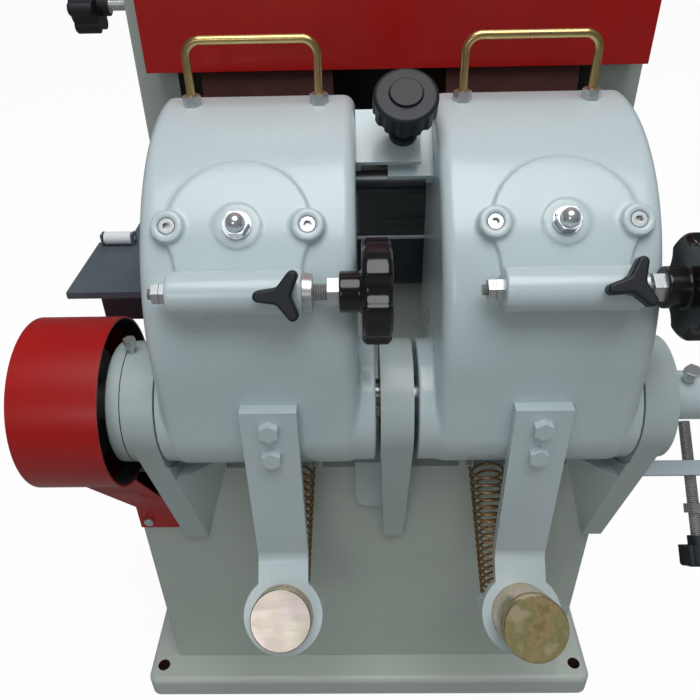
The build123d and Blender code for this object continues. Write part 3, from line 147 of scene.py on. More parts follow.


# edges take the rub colour: real wear, and on the dark steel also a painted glint along its edges
def edgeRubAndGlintGroup(spec):
    tree, source, sink = newGroup("edgeRubAndGlint", {"Amount": spec["amount"]}, ["Mask"])
    bevel = tree.nodes.new("ShaderNodeBevel")
    bevel.samples = spec["samples"]
    bevel.inputs["Radius"].default_value = spec["radius"] * mm
    geometry = tree.nodes.new("ShaderNodeNewGeometry")
    facing = addVectorMath(tree, "DOT_PRODUCT", bevel.outputs["Normal"], geometry.outputs["Normal"])
    bend = addRange(tree, facing, *spec["bendSpan"])
    patch = addRange(tree, addNoise(tree, source.outputs["Vector"], *spec["patch"]), *spec["patchSpan"])
    worn = addMath(tree, "MULTIPLY", bend, patch)
    tree.links.new(addMath(tree, "MULTIPLY", worn, source.outputs["Amount"], True), sink.inputs["Mask"])
    return tree


dustSpec = dict(amount=0.1, facingSpan=(0.35, 0.95), cloud=(18.0, 5.0), cloudSpan=(0.35, 0.75))


def dustFallGroup(spec):
    tree, source, sink = newGroup("dustFall", {"Amount": spec["amount"]}, ["Mask"])
    geometry = tree.nodes.new("ShaderNodeNewGeometry")
    split = tree.nodes.new("ShaderNodeSeparateXYZ")
    tree.links.new(geometry.outputs["Normal"], split.inputs[0])
    facing = addRange(tree, split.outputs["Z"], *spec["facingSpan"])
    cloud = addRange(tree, addNoise(tree, source.outputs["Vector"], *spec["cloud"]), *spec["cloudSpan"])
    fallen = addMath(tree, "MULTIPLY", facing, cloud)
    tree.links.new(addMath(tree, "MULTIPLY", fallen, source.outputs["Amount"], True), sink.inputs["Mask"])
    return tree


marksSpec = dict(stretch=(400.0, 8.0, 8.0), lines=(1.0, 3.0), smear=(35.0, 4.0), share=0.5,
                 toneSpan=(0.35, 0.65))


def toolMarksGroup(spec):
    tree, source, sink = newGroup("toolMarks", {"Stretch": spec["stretch"]}, ["Tone", "Height"])
    drawn = addVectorMath(tree, "MULTIPLY", source.outputs["Vector"], source.outputs["Stretch"])
    lines = addNoise(tree, drawn, *spec["lines"])
    smear = addNoise(tree, source.outputs["Vector"], *spec["smear"])
    both = addMath(tree, "ADD", *(addMath(tree, "MULTIPLY", part, spec["share"]) for part in (lines, smear)))
    tree.links.new(addRange(tree, both, *spec["toneSpan"]), sink.inputs["Tone"])
    tree.links.new(lines, sink.inputs["Height"])
    return tree


gritSpec = dict(scale=900.0, wear=(24.0, 4.0), grainShare=0.5, toneSpan=(0.4, 1.0))


def gritFieldGroup(spec):
    tree, source, sink = newGroup("gritField", {"Scale": spec["scale"]}, ["Tone", "Height"])
    cells = tree.nodes.new("ShaderNodeTexVoronoi")
    for label in ("Vector", "Scale"):
        tree.links.new(source.outputs[label], cells.inputs[label])
    grain = cells.outputs["Distance"]
    wear = addNoise(tree, source.outputs["Vector"], *spec["wear"])
    both = addMath(tree, "ADD", addMath(tree, "MULTIPLY", grain, spec["grainShare"]), wear)
    tree.links.new(addRange(tree, both, *spec["toneSpan"]), sink.inputs["Tone"])
    tree.links.new(grain, sink.inputs["Height"])
    return tree


ridgeSpec = dict(along=(500.0, 0.0, 0.0), valley=0.5)  # ridges a metre, and the valley's place in the pitch


def threadRidgeGroup(spec):
    tree, source, sink = newGroup("threadRidge", {"Along": spec["along"]}, ["Height"])
    along = addVectorMath(tree, "DOT_PRODUCT", source.outputs["Vector"], source.outputs["Along"])
    side = addMath(tree, "SUBTRACT", addMath(tree, "FRACT", along), spec["valley"])
    height = addMath(tree, "MULTIPLY", addMath(tree, "ABSOLUTE", side), 1 / spec["valley"])
    tree.links.new(height, sink.inputs["Height"])
    return tree


paintSkin = paintSkinGroup(skinSpec)
edgeRubAndGlint = edgeRubAndGlintGroup(rubAndGlintSpec)
dustFall = dustFallGroup(dustSpec)
toolMarks = toolMarksGroup(marksSpec)
gritField = gritFieldGroup(gritSpec)
threadRidge = threadRidgeGroup(ridgeSpec)
print("shader groups ready")

bumpDepth = dict(enamel=0.4, plastic=0.3, metal=0.15, thread=0.9, grit=0.5)  # mm


def startMaterial(name):
    material = bpy.data.materials.new(name)
    material.use_nodes = True
    tree = material.node_tree
    shader = tree.nodes["Principled BSDF"]
    place = tree.nodes.new("ShaderNodeTexCoord").outputs["Object"]
    return material, tree, shader, place


def useGroup(tree, group, place, **values):
    node = tree.nodes.new("ShaderNodeGroup")
    node.node_tree = group
    tree.links.new(place, node.inputs["Vector"])
    for label, value in values.items():
        node.inputs[label.replace("_", " ")].default_value = value
    return node


def addTone(tree, group, spec):
    return addMix(tree, group.outputs["Tone"], spec["colour"], spec["shade"])


def addRough(tree, group, spec):
    return addRange(tree, group.outputs["Tone"], 0.0, 1.0, *spec["roughness"])


def setSurface(tree, shader, colour, rough):
    tree.links.new(colour, shader.inputs["Base Color"])
    tree.links.new(rough, shader.inputs["Roughness"])


def addBump(tree, shader, height, strength, depth):
    bump = tree.nodes.new("ShaderNodeBump")
    bump.inputs["Strength"].default_value = strength
    bump.inputs["Distance"].default_value = depth * mm
    tree.links.new(height, bump.inputs["Height"])
    tree.links.new(bump.outputs["Normal"], shader.inputs["Normal"])


enamelSpec = dict(speckShare=0.25, dustRough=0.4, coatRough=0.12, specular=0.5)


def enamel(name, spec):
    material, tree, shader, place = startMaterial(name)
    skin = useGroup(tree, paintSkin, place, Peel_Scale=spec["peelScale"])
    rubAndGlint = useGroup(tree, edgeRubAndGlint, place, Amount=spec["rubAndGlint"])
    dust = useGroup(tree, dustFall, place, Amount=spec["dust"])
    specks = addMath(tree, "MULTIPLY", skin.outputs["Speck"], enamelSpec["speckShare"])
    colour = addMix(tree, specks, addTone(tree, skin, spec), spec["speckColour"])
    colour = addMix(tree, rubAndGlint.outputs["Mask"], colour, spec["rubAndGlintColour"])
    colour = addMix(tree, dust.outputs["Mask"], colour, spec["dustColour"])
    dusty = addMath(tree, "MULTIPLY", dust.outputs["Mask"], enamelSpec["dustRough"])
    setSurface(tree, shader, colour, addMath(tree, "ADD", addRough(tree, skin, spec), dusty, True))
    shader.inputs["Coat Weight"].default_value = spec["coat"]
    shader.inputs["Coat Roughness"].default_value = enamelSpec["coatRough"]
    shader.inputs["Specular IOR Level"].default_value = enamelSpec["specular"]
    addBump(tree, shader, skin.outputs["Peel"], spec["peel"], bumpDepth["enamel"])
    return material


def plastic(name, spec):
    material, tree, shader, place = startMaterial(name)
    skin = useGroup(tree, paintSkin, place, Peel_Scale=spec["peelScale"])
    rubAndGlint = useGroup(tree, edgeRubAndGlint, place, Amount=spec["rubAndGlint"])
    dust = useGroup(tree, dustFall, place, Amount=spec["dust"])
    colour = addMix(tree, rubAndGlint.outputs["Mask"], addTone(tree, skin, spec), spec["rubAndGlintColour"])
    colour = addMix(tree, dust.outputs["Mask"], colour, spec["dustColour"])
    setSurface(tree, shader, colour, addRough(tree, skin, spec))
    addBump(tree, shader, skin.outputs["Peel"], spec["peel"], bumpDepth["plastic"])
    return material


def metal(name, spec):
    material, tree, shader, place = startMaterial(name)
    marks = useGroup(tree, toolMarks, place, Stretch=spec["stretch"])
    rubAndGlint = useGroup(tree, edgeRubAndGlint, place, Amount=spec["rubAndGlint"])
    colour = addMix(tree, rubAndGlint.outputs["Mask"], addTone(tree, marks, spec), spec["rubAndGlintColour"])
    setSurface(tree, shader, colour, addRough(tree, marks, spec))
    shader.inputs["Metallic"].default_value = spec["metallic"]
    addBump(tree, shader, marks.outputs["Height"], spec["marks"], bumpDepth["metal"])
    return material


bloomSpec = dict(filmDetail=3.0, filmRough=0.5, markShare=0.35, newStop=0.5)


# zinc plate with a film that drifts through several colours
def zincBloom(name, spec):
    material, tree, shader, place = startMaterial(name)
    marks = useGroup(tree, toolMarks, place, Stretch=spec["stretch"])
    film = addNoise(tree, place, spec["filmScale"], bloomSpec["filmDetail"], bloomSpec["filmRough"])
    ramp = tree.nodes.new("ShaderNodeValToRGB")
    stops = ramp.color_ramp.elements
    while len(stops) < len(spec["film"]):
        stops.new(bloomSpec["newStop"])
    for element, (stop, colour) in zip(stops, spec["film"]):
        element.position = stop
        element.color = (*colour, 1.0)
    tree.links.new(film, ramp.inputs["Fac"])
    smeared = addMath(tree, "MULTIPLY", marks.outputs["Tone"], bloomSpec["markShare"])
    colour = addMix(tree, smeared, ramp.outputs["Color"], spec["shade"])
    setSurface(tree, shader, colour, addRough(tree, marks, spec))
    shader.inputs["Metallic"].default_value = spec["metallic"]
    addBump(tree, shader, marks.outputs["Height"], spec["marks"], bumpDepth["metal"])
    return material


def threaded(name, spec):
    material, tree, shader, place = startMaterial(name)
    ridge = useGroup(tree, threadRidge, place, Along=spec["along"]).outputs["Height"]
    marks = useGroup(tree, toolMarks, place, Stretch=spec["stretch"])
    # the thread valleys are darkened: painted shade in the recesses of the thread
    valley = addRange(tree, ridge, *spec["valleyShadeSpan"], spec["valley"], 0.0)
    colour = addMix(tree, valley, addTone(tree, marks, spec), spec["valleyShadeColour"])
    setSurface(tree, shader, colour, addRough(tree, marks, spec))
    shader.inputs["Metallic"].default_value = spec["metallic"]
    addBump(tree, shader, ridge, spec["marks"], bumpDepth["thread"])
    return material


def abrasive(name, spec):
    material, tree, shader, place = startMaterial(name)
    grit = useGroup(tree, gritField, place, Scale=spec["scale"])
    setSurface(tree, shader, addTone(tree, grit, spec), addRough(tree, grit, spec))
    addBump(tree, shader, grit.outputs["Height"], spec["bump"], bumpDepth["grit"])
    return material


greyPaint = dict(colour=(0.47, 0.54, 0.49), shade=(0.43, 0.50, 0.455), speckColour=(0.34, 0.39, 0.36),
                 rubAndGlintColour=(0.32, 0.36, 0.34), dustColour=(0.56, 0.54, 0.48), roughness=(0.34, 0.46), rubAndGlint=0.3,
                 dust=0.08, coat=0.15, peelScale=240.0, peel=0.10)
headPaint = {**greyPaint, "colour": (0.55, 0.66, 0.69), "shade": (0.515, 0.62, 0.65),
             "speckColour": (0.44, 0.52, 0.55), "roughness": (0.24, 0.35), "coat": 0.35, "peelScale": 130.0,
             "peel": 0.28, "rubAndGlint": 0.15, "dustColour": (0.6, 0.64, 0.64), "dust": 0.05}
bracketPaint = {**greyPaint, "colour": (0.46, 0.55, 0.55), "shade": (0.42, 0.505, 0.505)}
# a lighter copy of the grey paint for the base plate: painted light, standing in for more light on the base
baseLitPaint = {**greyPaint, "colour": (0.54, 0.60, 0.56), "shade": (0.50, 0.56, 0.52)}
redPaint = dict(colour=(0.43, 0.005, 0.004), shade=(0.36, 0.004, 0.0035), speckColour=(0.25, 0.01, 0.01),
                rubAndGlintColour=(0.16, 0.03, 0.025), dustColour=(0.42, 0.12, 0.1), roughness=(0.26, 0.36), rubAndGlint=0.3,
                dust=0.02, coat=0.12, peelScale=200.0, peel=0.06)
blackPaint = dict(colour=(0.085, 0.112, 0.14), shade=(0.07, 0.092, 0.115), speckColour=(0.1, 0.12, 0.14),
                  rubAndGlintColour=(0.2, 0.22, 0.24), dustColour=(0.22, 0.22, 0.21), roughness=(0.38, 0.5), rubAndGlint=0.5,
                  dust=0.10, coat=0.05, peelScale=320.0, peel=0.1)
motorPaint = {**greyPaint, "colour": (0.13, 0.16, 0.17), "shade": (0.10, 0.125, 0.135), "dust": 0.2,
              "coat": 0.1}
# near-black paint for the insides of the guard, hood, cabinet and head castings: painted shade where shade
# falls inside them
paintedShadeInsidePaint = {**blackPaint, "colour": (0.022, 0.024, 0.026), "shade": (0.03, 0.032, 0.034),
              "roughness": (0.55, 0.7), "dust": 0.12}
# dark reddish paint on the walls of the anchor holes: painted shade in the holes
holeShadePaint = {**blackPaint, "colour": (0.05, 0.02, 0.018), "shade": (0.08, 0.03, 0.025),
             "roughness": (0.6, 0.75)}
zincMetal = dict(colour=(0.64, 0.67, 0.68), shade=(0.50, 0.52, 0.53), rubAndGlintColour=(0.8, 0.8, 0.8), rubAndGlint=0.4,
                 roughness=(0.24, 0.4), metallic=0.8, stretch=(90.0, 90.0, 90.0), marks=0.06)
brightMetal = {**zincMetal, "colour": (0.60, 0.60, 0.60), "shade": (0.42, 0.42, 0.43),
               "roughness": (0.18, 0.34), "stretch": (6.0, 500.0, 500.0), "marks": 0.08}
chromeMetal = {**zincMetal, "colour": (0.72, 0.77, 0.80), "shade": (0.62, 0.67, 0.70),
               "roughness": (0.20, 0.28), "metallic": 0.75, "marks": 0.01}
# dark steel whose light rubbed edges are part wear and part painted glint
darkMetalWithGlint = {**zincMetal, "colour": (0.11, 0.125, 0.14), "shade": (0.075, 0.085, 0.095),
             "rubAndGlintColour": (0.6, 0.62, 0.64), "rubAndGlint": 0.7, "roughness": (0.3, 0.45), "metallic": 0.85,
             "stretch": (6.0, 500.0, 500.0)}
ironMetal = {**zincMetal, "colour": (0.16, 0.16, 0.165), "shade": (0.10, 0.10, 0.105),
             "roughness": (0.4, 0.6), "metallic": 0.8, "marks": 0.15}
chainMetal = {**zincMetal, "colour": (0.22, 0.21, 0.20), "shade": (0.12, 0.115, 0.11),
              "roughness": (0.3, 0.5)}
rollerMetal = {**zincMetal, "colour": (0.52, 0.53, 0.54), "shade": (0.38, 0.39, 0.40),
               "stretch": (500.0, 8.0, 8.0)}
springMetal = {**zincMetal, "colour": (0.42, 0.25, 0.12), "shade": (0.28, 0.15, 0.07),
               "rubAndGlintColour": (0.6, 0.45, 0.3), "roughness": (0.25, 0.42)}
# steel whose thread valleys are darkened as painted shade
threadMetal = {**zincMetal, "colour": (0.62, 0.62, 0.61), "shade": (0.46, 0.46, 0.45), "metallic": 0.7,
               "marks": 0.7, "along": (500.0, 0.0, 0.0), "valley": 0.6, "valleyShadeSpan": (0.1, 0.7),
               "valleyShadeColour": (0.08, 0.08, 0.08)}
supportThread = {**threadMetal, "along": (0.0, -371.6, -334.6)}
goldZinc = dict(film=((0.25, (0.62, 0.47, 0.17)), (0.45, (0.72, 0.55, 0.24)), (0.6, (0.66, 0.42, 0.2)),
                      (0.75, (0.6, 0.56, 0.26))),
                shade=(0.45, 0.33, 0.12), filmScale=26.0, roughness=(0.22, 0.36), metallic=0.95,
                stretch=(60.0, 60.0, 60.0), marks=0.05)
weightZinc = {**goldZinc, "shade": (0.42, 0.32, 0.14), "filmScale": 30.0, "roughness": (0.2, 0.34),
              "stretch": (40.0, 40.0, 40.0), "marks": 0.06,
              "film": ((0.3, (0.60, 0.46, 0.24)), (0.42, (0.70, 0.56, 0.36)), (0.52, (0.66, 0.45, 0.36)),
                       (0.62, (0.50, 0.52, 0.30)), (0.75, (0.72, 0.62, 0.42)))}
# the left weight's end face: film colour made paler as a painted reflection
paleWeightPaintedReflection = {**goldZinc, "shade": (0.62, 0.53, 0.45), "filmScale": 22.0, "roughness": (0.26, 0.38),
              "stretch": (20.0, 20.0, 160.0),
              "film": ((0.3, (0.80, 0.72, 0.68)), (0.45, (0.86, 0.76, 0.72)), (0.6, (0.80, 0.74, 0.62)),
                       (0.75, (0.88, 0.80, 0.76)))}
# the right weight's end face: film colour made browner and darker as painted shade
brownWeightPaintedShade = {**goldZinc, "shade": (0.42, 0.32, 0.13), "filmScale": 46.0, "metallic": 0.65,
               "stretch": (20.0, 20.0, 160.0),
               "film": ((0.35, (0.40, 0.29, 0.11)), (0.45, (0.66, 0.53, 0.27)), (0.55, (0.46, 0.44, 0.20)),
                        (0.68, (0.80, 0.70, 0.46)))}
knobPlastic = dict(colour=(0.009, 0.012, 0.017), shade=(0.013, 0.017, 0.023), rubAndGlintColour=(0.05, 0.055, 0.065),
                   rubAndGlint=0.3, dustColour=(0.08, 0.09, 0.1), dust=0.08, roughness=(0.42, 0.55), peelScale=700.0,
                   peel=0.12)
glossPlastic = {**knobPlastic, "colour": (0.007, 0.007, 0.009), "shade": (0.011, 0.011, 0.013),
                "roughness": (0.10, 0.18), "peel": 0.02, "dust": 0.06}
rubberBlack = {**knobPlastic, "colour": (0.020, 0.019, 0.018), "shade": (0.032, 0.03, 0.028),
               "roughness": (0.65, 0.8), "dust": 0.25}
nylonWhite = {**knobPlastic, "colour": (0.86, 0.89, 0.92), "shade": (0.80, 0.83, 0.86),
              "rubAndGlintColour": (0.6, 0.6, 0.57), "dustColour": (0.6, 0.58, 0.52), "roughness": (0.4, 0.5)}
gritCloth = dict(colour=(0.10, 0.028, 0.022), shade=(0.055, 0.016, 0.014), scale=900.0, roughness=(0.75, 0.9),
                 bump=0.6)

finishSpecs = {
    enamel: dict(greyEnamel=greyPaint, headEnamel=headPaint, bracketEnamel=bracketPaint, baseLitEnamel=baseLitPaint,
                 redEnamel=redPaint, blackEnamel=blackPaint, motorEnamel=motorPaint, paintedShadeInside=paintedShadeInsidePaint,
                 holePaintedShade=holeShadePaint),
    metal: dict(zincSteel=zincMetal, brightSteel=brightMetal, darkSteelWithGlint=darkMetalWithGlint, chromeNut=chromeMetal,
                castIron=ironMetal, chainSteel=chainMetal, rollerSteel=rollerMetal, springBronze=springMetal),
    zincBloom: dict(handleGold=goldZinc, weightGold=weightZinc, paleWeightPaintedReflection=paleWeightPaintedReflection,
                    brownWeightPaintedShade=brownWeightPaintedShade),
    threaded: dict(threadSteel=threadMetal, supportThread=supportThread),
    plastic: dict(knobBlack=knobPlastic, wheelBlack=glossPlastic, rubberBlack=rubberBlack,
                  nylonWhite=nylonWhite),
    abrasive: dict(gritCloth=gritCloth),
}
finish = {name: make(name, spec) for make, specs in finishSpecs.items() for name, spec in specs.items()}
print("finishes ready", len(finish))

edgeSpec = dict(weld=0.01, flat=0.3, sharp=34.0, segments=2)  # mm, degrees, degrees


def smoothTree():
    tree = bpy.data.node_groups.new("smoothByBend", "GeometryNodeTree")
    for way in ("INPUT", "OUTPUT"):
        tree.interface.new_socket("Geometry", in_out=way, socket_type="NodeSocketGeometry")
    source = tree.nodes.new("NodeGroupInput")
    sink = tree.nodes.new("NodeGroupOutput")
    bend = tree.nodes.new("GeometryNodeInputMeshEdgeAngle")
    test = tree.nodes.new("FunctionNodeCompare")
    test.operation = "LESS_THAN"
    test.inputs[1].default_value = radians(edgeSpec["sharp"])
    tree.links.new(bend.outputs["Unsigned Angle"], test.inputs[0])
    faces = tree.nodes.new("GeometryNodeSetShadeSmooth")
    edges = tree.nodes.new("GeometryNodeSetShadeSmooth")
    edges.domain = "EDGE"
    tree.links.new(source.outputs[0], faces.inputs["Geometry"])
    tree.links.new(faces.outputs[0], edges.inputs["Geometry"])
    tree.links.new(test.outputs[0], edges.inputs["Shade Smooth"])
    tree.links.new(edges.outputs[0], sink.inputs[0])
    return tree


smoothByBend = smoothTree()


# the chooser gives the place in the list of finishes that a face takes
def dress(name, finishes, bevel, chooser=None):
    node = nodes[name]
    mesh = node.data
    mesh.materials.clear()
    for label in finishes:
        mesh.materials.append(finish[label])
    for face in mesh.polygons:
        face.material_index = chooser(face) if chooser else 0
    if "custom_normal" in mesh.attributes:
        mesh.attributes.remove(mesh.attributes["custom_normal"])
    weld = node.modifiers.new("weld", "WELD")
    weld.merge_threshold = edgeSpec["weld"] * mm
    if bevel:
        flatten = node.modifiers.new("flatten", "DECIMATE")
        flatten.decimate_type = "DISSOLVE"
        flatten.angle_limit = radians(edgeSpec["flat"])
        flatten.delimit = {"MATERIAL"}
        soften = node.modifiers.new("soften", "BEVEL")
        soften.width = bevel * mm
        soften.segments = edgeSpec["segments"]
        soften.limit_method = "ANGLE"
        soften.angle_limit = radians(edgeSpec["sharp"])
    smooth = node.modifiers.new("smooth", "NODES")
    smooth.node_group = smoothByBend
    weighted = node.modifiers.new("weighted", "WEIGHTED_NORMAL")
    weighted.keep_sharp = True


def fromAxis(point, axis):
    return hypot(point.y - axis.y, point.z - axis.z)


guardSpec = dict(reach=90.0, lip=10.0, square=0.9)


# inside faces of the guard, near its shaft, take the near-black painted shade
def guardSide(face):
    out = Vector((0, face.center.y - shaft.y, face.center.z - shaft.z))
    lip = boxes["belt_guard"][0].x + guardSpec["lip"] * mm
    backed = face.normal.x > guardSpec["square"] and face.center.x < lip
    inside = backed or face.normal.dot(out) < 0
    return int(inside and fromAxis(face.center, shaft) < guardSpec["reach"] * mm)


hoodSpec = dict(sheet=1.5)


# inside faces of the hood take the near-black painted shade
def hoodSide(face):
    low, high = boxes["belt_hood"]
    middle = (low + high) / 2
    centre = face.center
    out = centre - Vector((middle.x, middle.y, low.z))
    edge = min(centre.x - low.x, high.x - centre.x, centre.y - low.y, high.y - centre.y, high.z - centre.z)
    return int(edge > hoodSpec["sheet"] * mm and face.normal.dot(out) < 0)


anchorSpec = dict(place=277.0, reach=9.0, upright=0.5)


# walls of the anchor holes, which take the dark painted shade
def anchorWall(face):
    away = max(abs(abs(place) - anchorSpec["place"] * mm) for place in face.center[:2])
    return int(away < anchorSpec["reach"] * mm and abs(face.normal.z) < anchorSpec["upright"])


cabinetSpec = dict(front=263.5, top=390.0, sheet=1.5)


# inside faces of the cabinet take the near-black painted shade
def cabinetSide(face):
    side = boxes["cabinet"][1].x - abs(face.center.x)
    front = cabinetSpec["front"] * mm - abs(face.center.y)
    top = cabinetSpec["top"] * mm - face.center.z
    return int(min(side, front, top) > cabinetSpec["sheet"] * mm)


# the casting's inside, which takes the near-black painted shade: between its walls, under its crown, above
# its sole, behind its face and off the bore
headSpec = dict(wall=84.0, crownY=-130.0, crownZ=552.0, crown=182.0, sole=52.0, face=-311.5, bore=20.5)


def headSide(side):
    low, high = boxes[f"head_housing_{side}"]
    middle = (low.x + high.x) / 2
    crown = Vector((0, headSpec["crownY"], headSpec["crownZ"])) * mm

    def choose(face):
        centre = face.center
        return int(abs(centre.x - middle) < headSpec["wall"] * mm
                   and fromAxis(centre, crown) < headSpec["crown"] * mm
                   and centre.z > shaft.z - headSpec["sole"] * mm
                   and centre.y > headSpec["face"] * mm
                   and fromAxis(centre, shaft) > headSpec["bore"] * mm)
    return choose


nutSpec = dict(corner=8.66, height=24.0, rod=4.3)


def handleNut(side):
    low, high = boxes[f"lift_handle_{side}"]
    legs = (low.x + nutSpec["corner"] * mm, high.x - nutSpec["corner"] * mm)
    middle = (low.y + high.y) / 2

    def choose(face):
        away = min(hypot(face.center.x - leg, face.center.y - middle) for leg in legs)
        return int(face.center.z < low.z + nutSpec["height"] * mm and away > nutSpec["rod"] * mm)
    return choose


turnedSpec = dict(drum=44.0, thread=7.2)


def drumOrShaft(joint):
    axis = Vector(joints[joint]["pos_m"])
    return lambda face: int(fromAxis(face.center, axis) > turnedSpec["drum"] * mm)


def screwThread(side):
    low, high = boxes[f"angle_screw_{side}"]
    axis = (low + high) / 2
    return lambda face: int(fromAxis(face.center, axis) < turnedSpec["thread"] * mm)


earSpec = dict(low=560.0, high=690.0)


def earScrew(face):
    return int(earSpec["low"] * mm < face.center.z < earSpec["high"] * mm)


# the end faces of the two like weights differ: paler on the left as painted reflection, browner on the right
# as painted shade
weightSpec = dict(square=0.95, left="paleWeightPaintedReflection", right="brownWeightPaintedShade")


def weightFace(side):
    axis = Vector(joints[f"weight_{side}_slide"]["axis"])
    return lambda face: int(abs(face.normal.dot(axis)) > weightSpec["square"])


gripSpec = dict(support=71.0, tracking=37.0)  # where the support's grip and the tracking knob's stud begin


def supportPart(face):
    turn = joints["support_turn"]
    along = (face.center - Vector(turn["pos_m"])).dot(Vector(turn["axis"]))
    return int(along > gripSpec["support"] * mm)


def trackingPart(face):
    return int(face.center.x > boxes["tracking_knob"][0].x + gripSpec["tracking"] * mm)


# nodes of one finish, with the width of their bevels in mm
plainNodes = {
    "greyEnamel": {"rear_panel": 0.6, "belt_frame": 1.5},
    "bracketEnamel": {"bracket_left": 3.0, "bracket_middle": 3.0, "bracket_right": 3.0, "bearing_cap": 0.8},
    "headEnamel": {"stub_tube": 0.8, "support_arm": 1.2},
    "blackEnamel": {"infeed_table": 0.5},
    "motorEnamel": {"feed_motor": 0.5, "sanding_motor": 0.5},
    "zincSteel": {"cover_screws": 0.5, "lock_bolts": 0.5},
    "darkSteelWithGlint": {"work_rest": 0.5},
    "brightSteel": {"drive_shaft": 0.5},
    "castIron": {"shaft_pulley": 0.5, "feed_motor_pulley": 0.5, "sanding_motor_pulley": 0.5},
    "rubberBlack": {"drive_belts": 0.5},
    "gritCloth": {"sanding_belts": 0.5},
    "nylonWhite": {"guide_roller": 0.5},
}
headNodes = {
    "headEnamel": {"press_lever": 1.6, "link_bracket": 0.9},
    "chromeNut": {"swivel_nut": 0.4},
    "castIron": {"wheel_yoke": 1.0},
    "rubberBlack": {"feed_wheel": 0.0},
    "chainSteel": {"feed_chain": 0.0},
}
for label, widths in plainNodes.items():
    for name, width in widths.items():
        dress(name, [label], width)
dress("base_plate", ["baseLitEnamel", "holePaintedShade"], bevel=0.6, chooser=anchorWall)
dress("cabinet", ["greyEnamel", "paintedShadeInside"], bevel=0.8, chooser=cabinetSide)
dress("belt_guard", ["redEnamel", "paintedShadeInside"], bevel=0.5, chooser=guardSide)
dress("belt_hood", ["redEnamel", "paintedShadeInside"], bevel=0.6, chooser=hoodSide)
dress("support_knob", ["supportThread", "knobBlack"], bevel=0.5, chooser=supportPart)
dress("contact_roller", ["darkSteelWithGlint", "rubberBlack"], bevel=0.0, chooser=drumOrShaft("contact_spin"))
dress("tension_roller", ["brightSteel", "rollerSteel"], bevel=0.0, chooser=drumOrShaft("tension_spin"))
for side in heads:
    for label, widths in headNodes.items():
        for name, width in widths.items():
            dress(f"{name}_{side}", [label], width)
    dress(f"head_screws_{side}", ["headEnamel", "zincSteel"], bevel=0.5, chooser=earScrew)
    dress(f"lift_handle_{side}", ["handleGold", "zincSteel"], bevel=0.0, chooser=handleNut(side))
    dress(f"counterweight_{side}", ["weightGold", weightSpec[side]], bevel=0.0, chooser=weightFace(side))
    dress(f"angle_screw_{side}", ["zincSteel", "threadSteel"], bevel=0.0, chooser=screwThread(side))
print("nodes dressed")

castingSpec = dict(voxel=1.4, rounds=12, ease=0.5)
wheelSpec = dict(voxel=0.8, rounds=10, ease=0.5)
knobSpec = dict(voxel=0.55, rounds=5, ease=0.5)
coverSwell = 0.5  # mm, so that the cover plate melts into its casting


# castings and moulded knobs, with the soft edges that the solids leave out
def softPiece(name, sources, body, spec, finishes, chooser=None):
    joined = bmesh.new()
    for source, swell in sources.items():
        part = bmesh.new()
        part.from_mesh(nodes[source].data)
        bmesh.ops.remove_doubles(part, verts=part.verts, dist=edgeSpec["weld"] * mm)
        part.normal_update()
        for vertex in part.verts:
            vertex.co += vertex.normal * swell * mm
        swollen = bpy.data.meshes.new("swollen")
        part.to_mesh(swollen)
        part.free()
        joined.from_mesh(swollen)
        bpy.data.meshes.remove(swollen)
    mesh = bpy.data.meshes.new(name)
    joined.to_mesh(mesh)
    joined.free()
    piece = bpy.data.objects.new(name, mesh)
    bpy.context.scene.collection.objects.link(piece)
    remesh = piece.modifiers.new("remesh", "REMESH")
    remesh.mode = "VOXEL"
    remesh.voxel_size = spec["voxel"] * mm
    rounding = piece.modifiers.new("rounding", "SMOOTH")
    rounding.factor = spec["ease"]
    rounding.iterations = spec["rounds"]
    seen = piece.evaluated_get(bpy.context.evaluated_depsgraph_get())
    piece.data = bpy.data.meshes.new_from_object(seen)
    piece.modifiers.clear()
    for label in finishes:
        piece.data.materials.append(finish[label])
    for face in piece.data.polygons:
        face.use_smooth = True
        face.material_index = chooser(face) if chooser else 0
    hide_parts(*sources)
    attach(piece, body)
    print(name, len(piece.data.polygons), "faces")


for side in heads:
    casting = {f"head_housing_{side}": 0.0, f"cover_plate_{side}": coverSwell}
    softPiece(f"headCasting.{side}", casting, f"head_{side}", castingSpec, ["headEnamel", "paintedShadeInside"],
              headSide(side))
    softPiece(f"handwheelRim.{side}", {f"handwheel_{side}": 0.0}, f"hand_{side}", wheelSpec, ["wheelBlack"])
    softPiece(f"clampKnob.{side}", {f"lobed_knob_{side}": 0.0}, f"clamp_{side}", knobSpec, ["knobBlack"])
softPiece("linkGrip", {"link_knob": 0.0}, "link", knobSpec, ["knobBlack"])
softPiece("trackingGrip", {"tracking_knob": 0.0}, "tracking", knobSpec, ["knobBlack", "zincSteel"],
          trackingPart)
print("castings and knobs ready")

# balance springs, wound from the perch on the cabinet to the post on the lever, in mm
springSpec = dict(wire=1.3, radius=17.0, turns=18, perTurn=30, ring=8, tail=4.0, freeShare=0.72)
springEnds = {"left": dict(top=(-71.0, -283.0, 407.0), bottom=(-83.4, -316.0, 246.0), hand=1.0),
              "right": dict(top=(124.5, -283.0, 407.0), bottom=(145.8, -316.0, 246.0), hand=-1.0)}


def springPath(top, bottom, hand, spec):
    axis = (bottom - top).normalized()
    second = axis.cross(Vector((1, 0, 0))).normalized()
    first = second.cross(axis).normalized() * hand
    points = []
    steps = spec["turns"] * spec["perTurn"]
    for step in range(steps + 1):
        angle = tau * step / spec["perTurn"]
        around = first * cos(angle) + second * sin(angle)
        points.append(top.lerp(bottom, step / steps) + around * spec["radius"])
    return [points[0] - second * spec["tail"], *points, points[-1] + second * spec["tail"]]


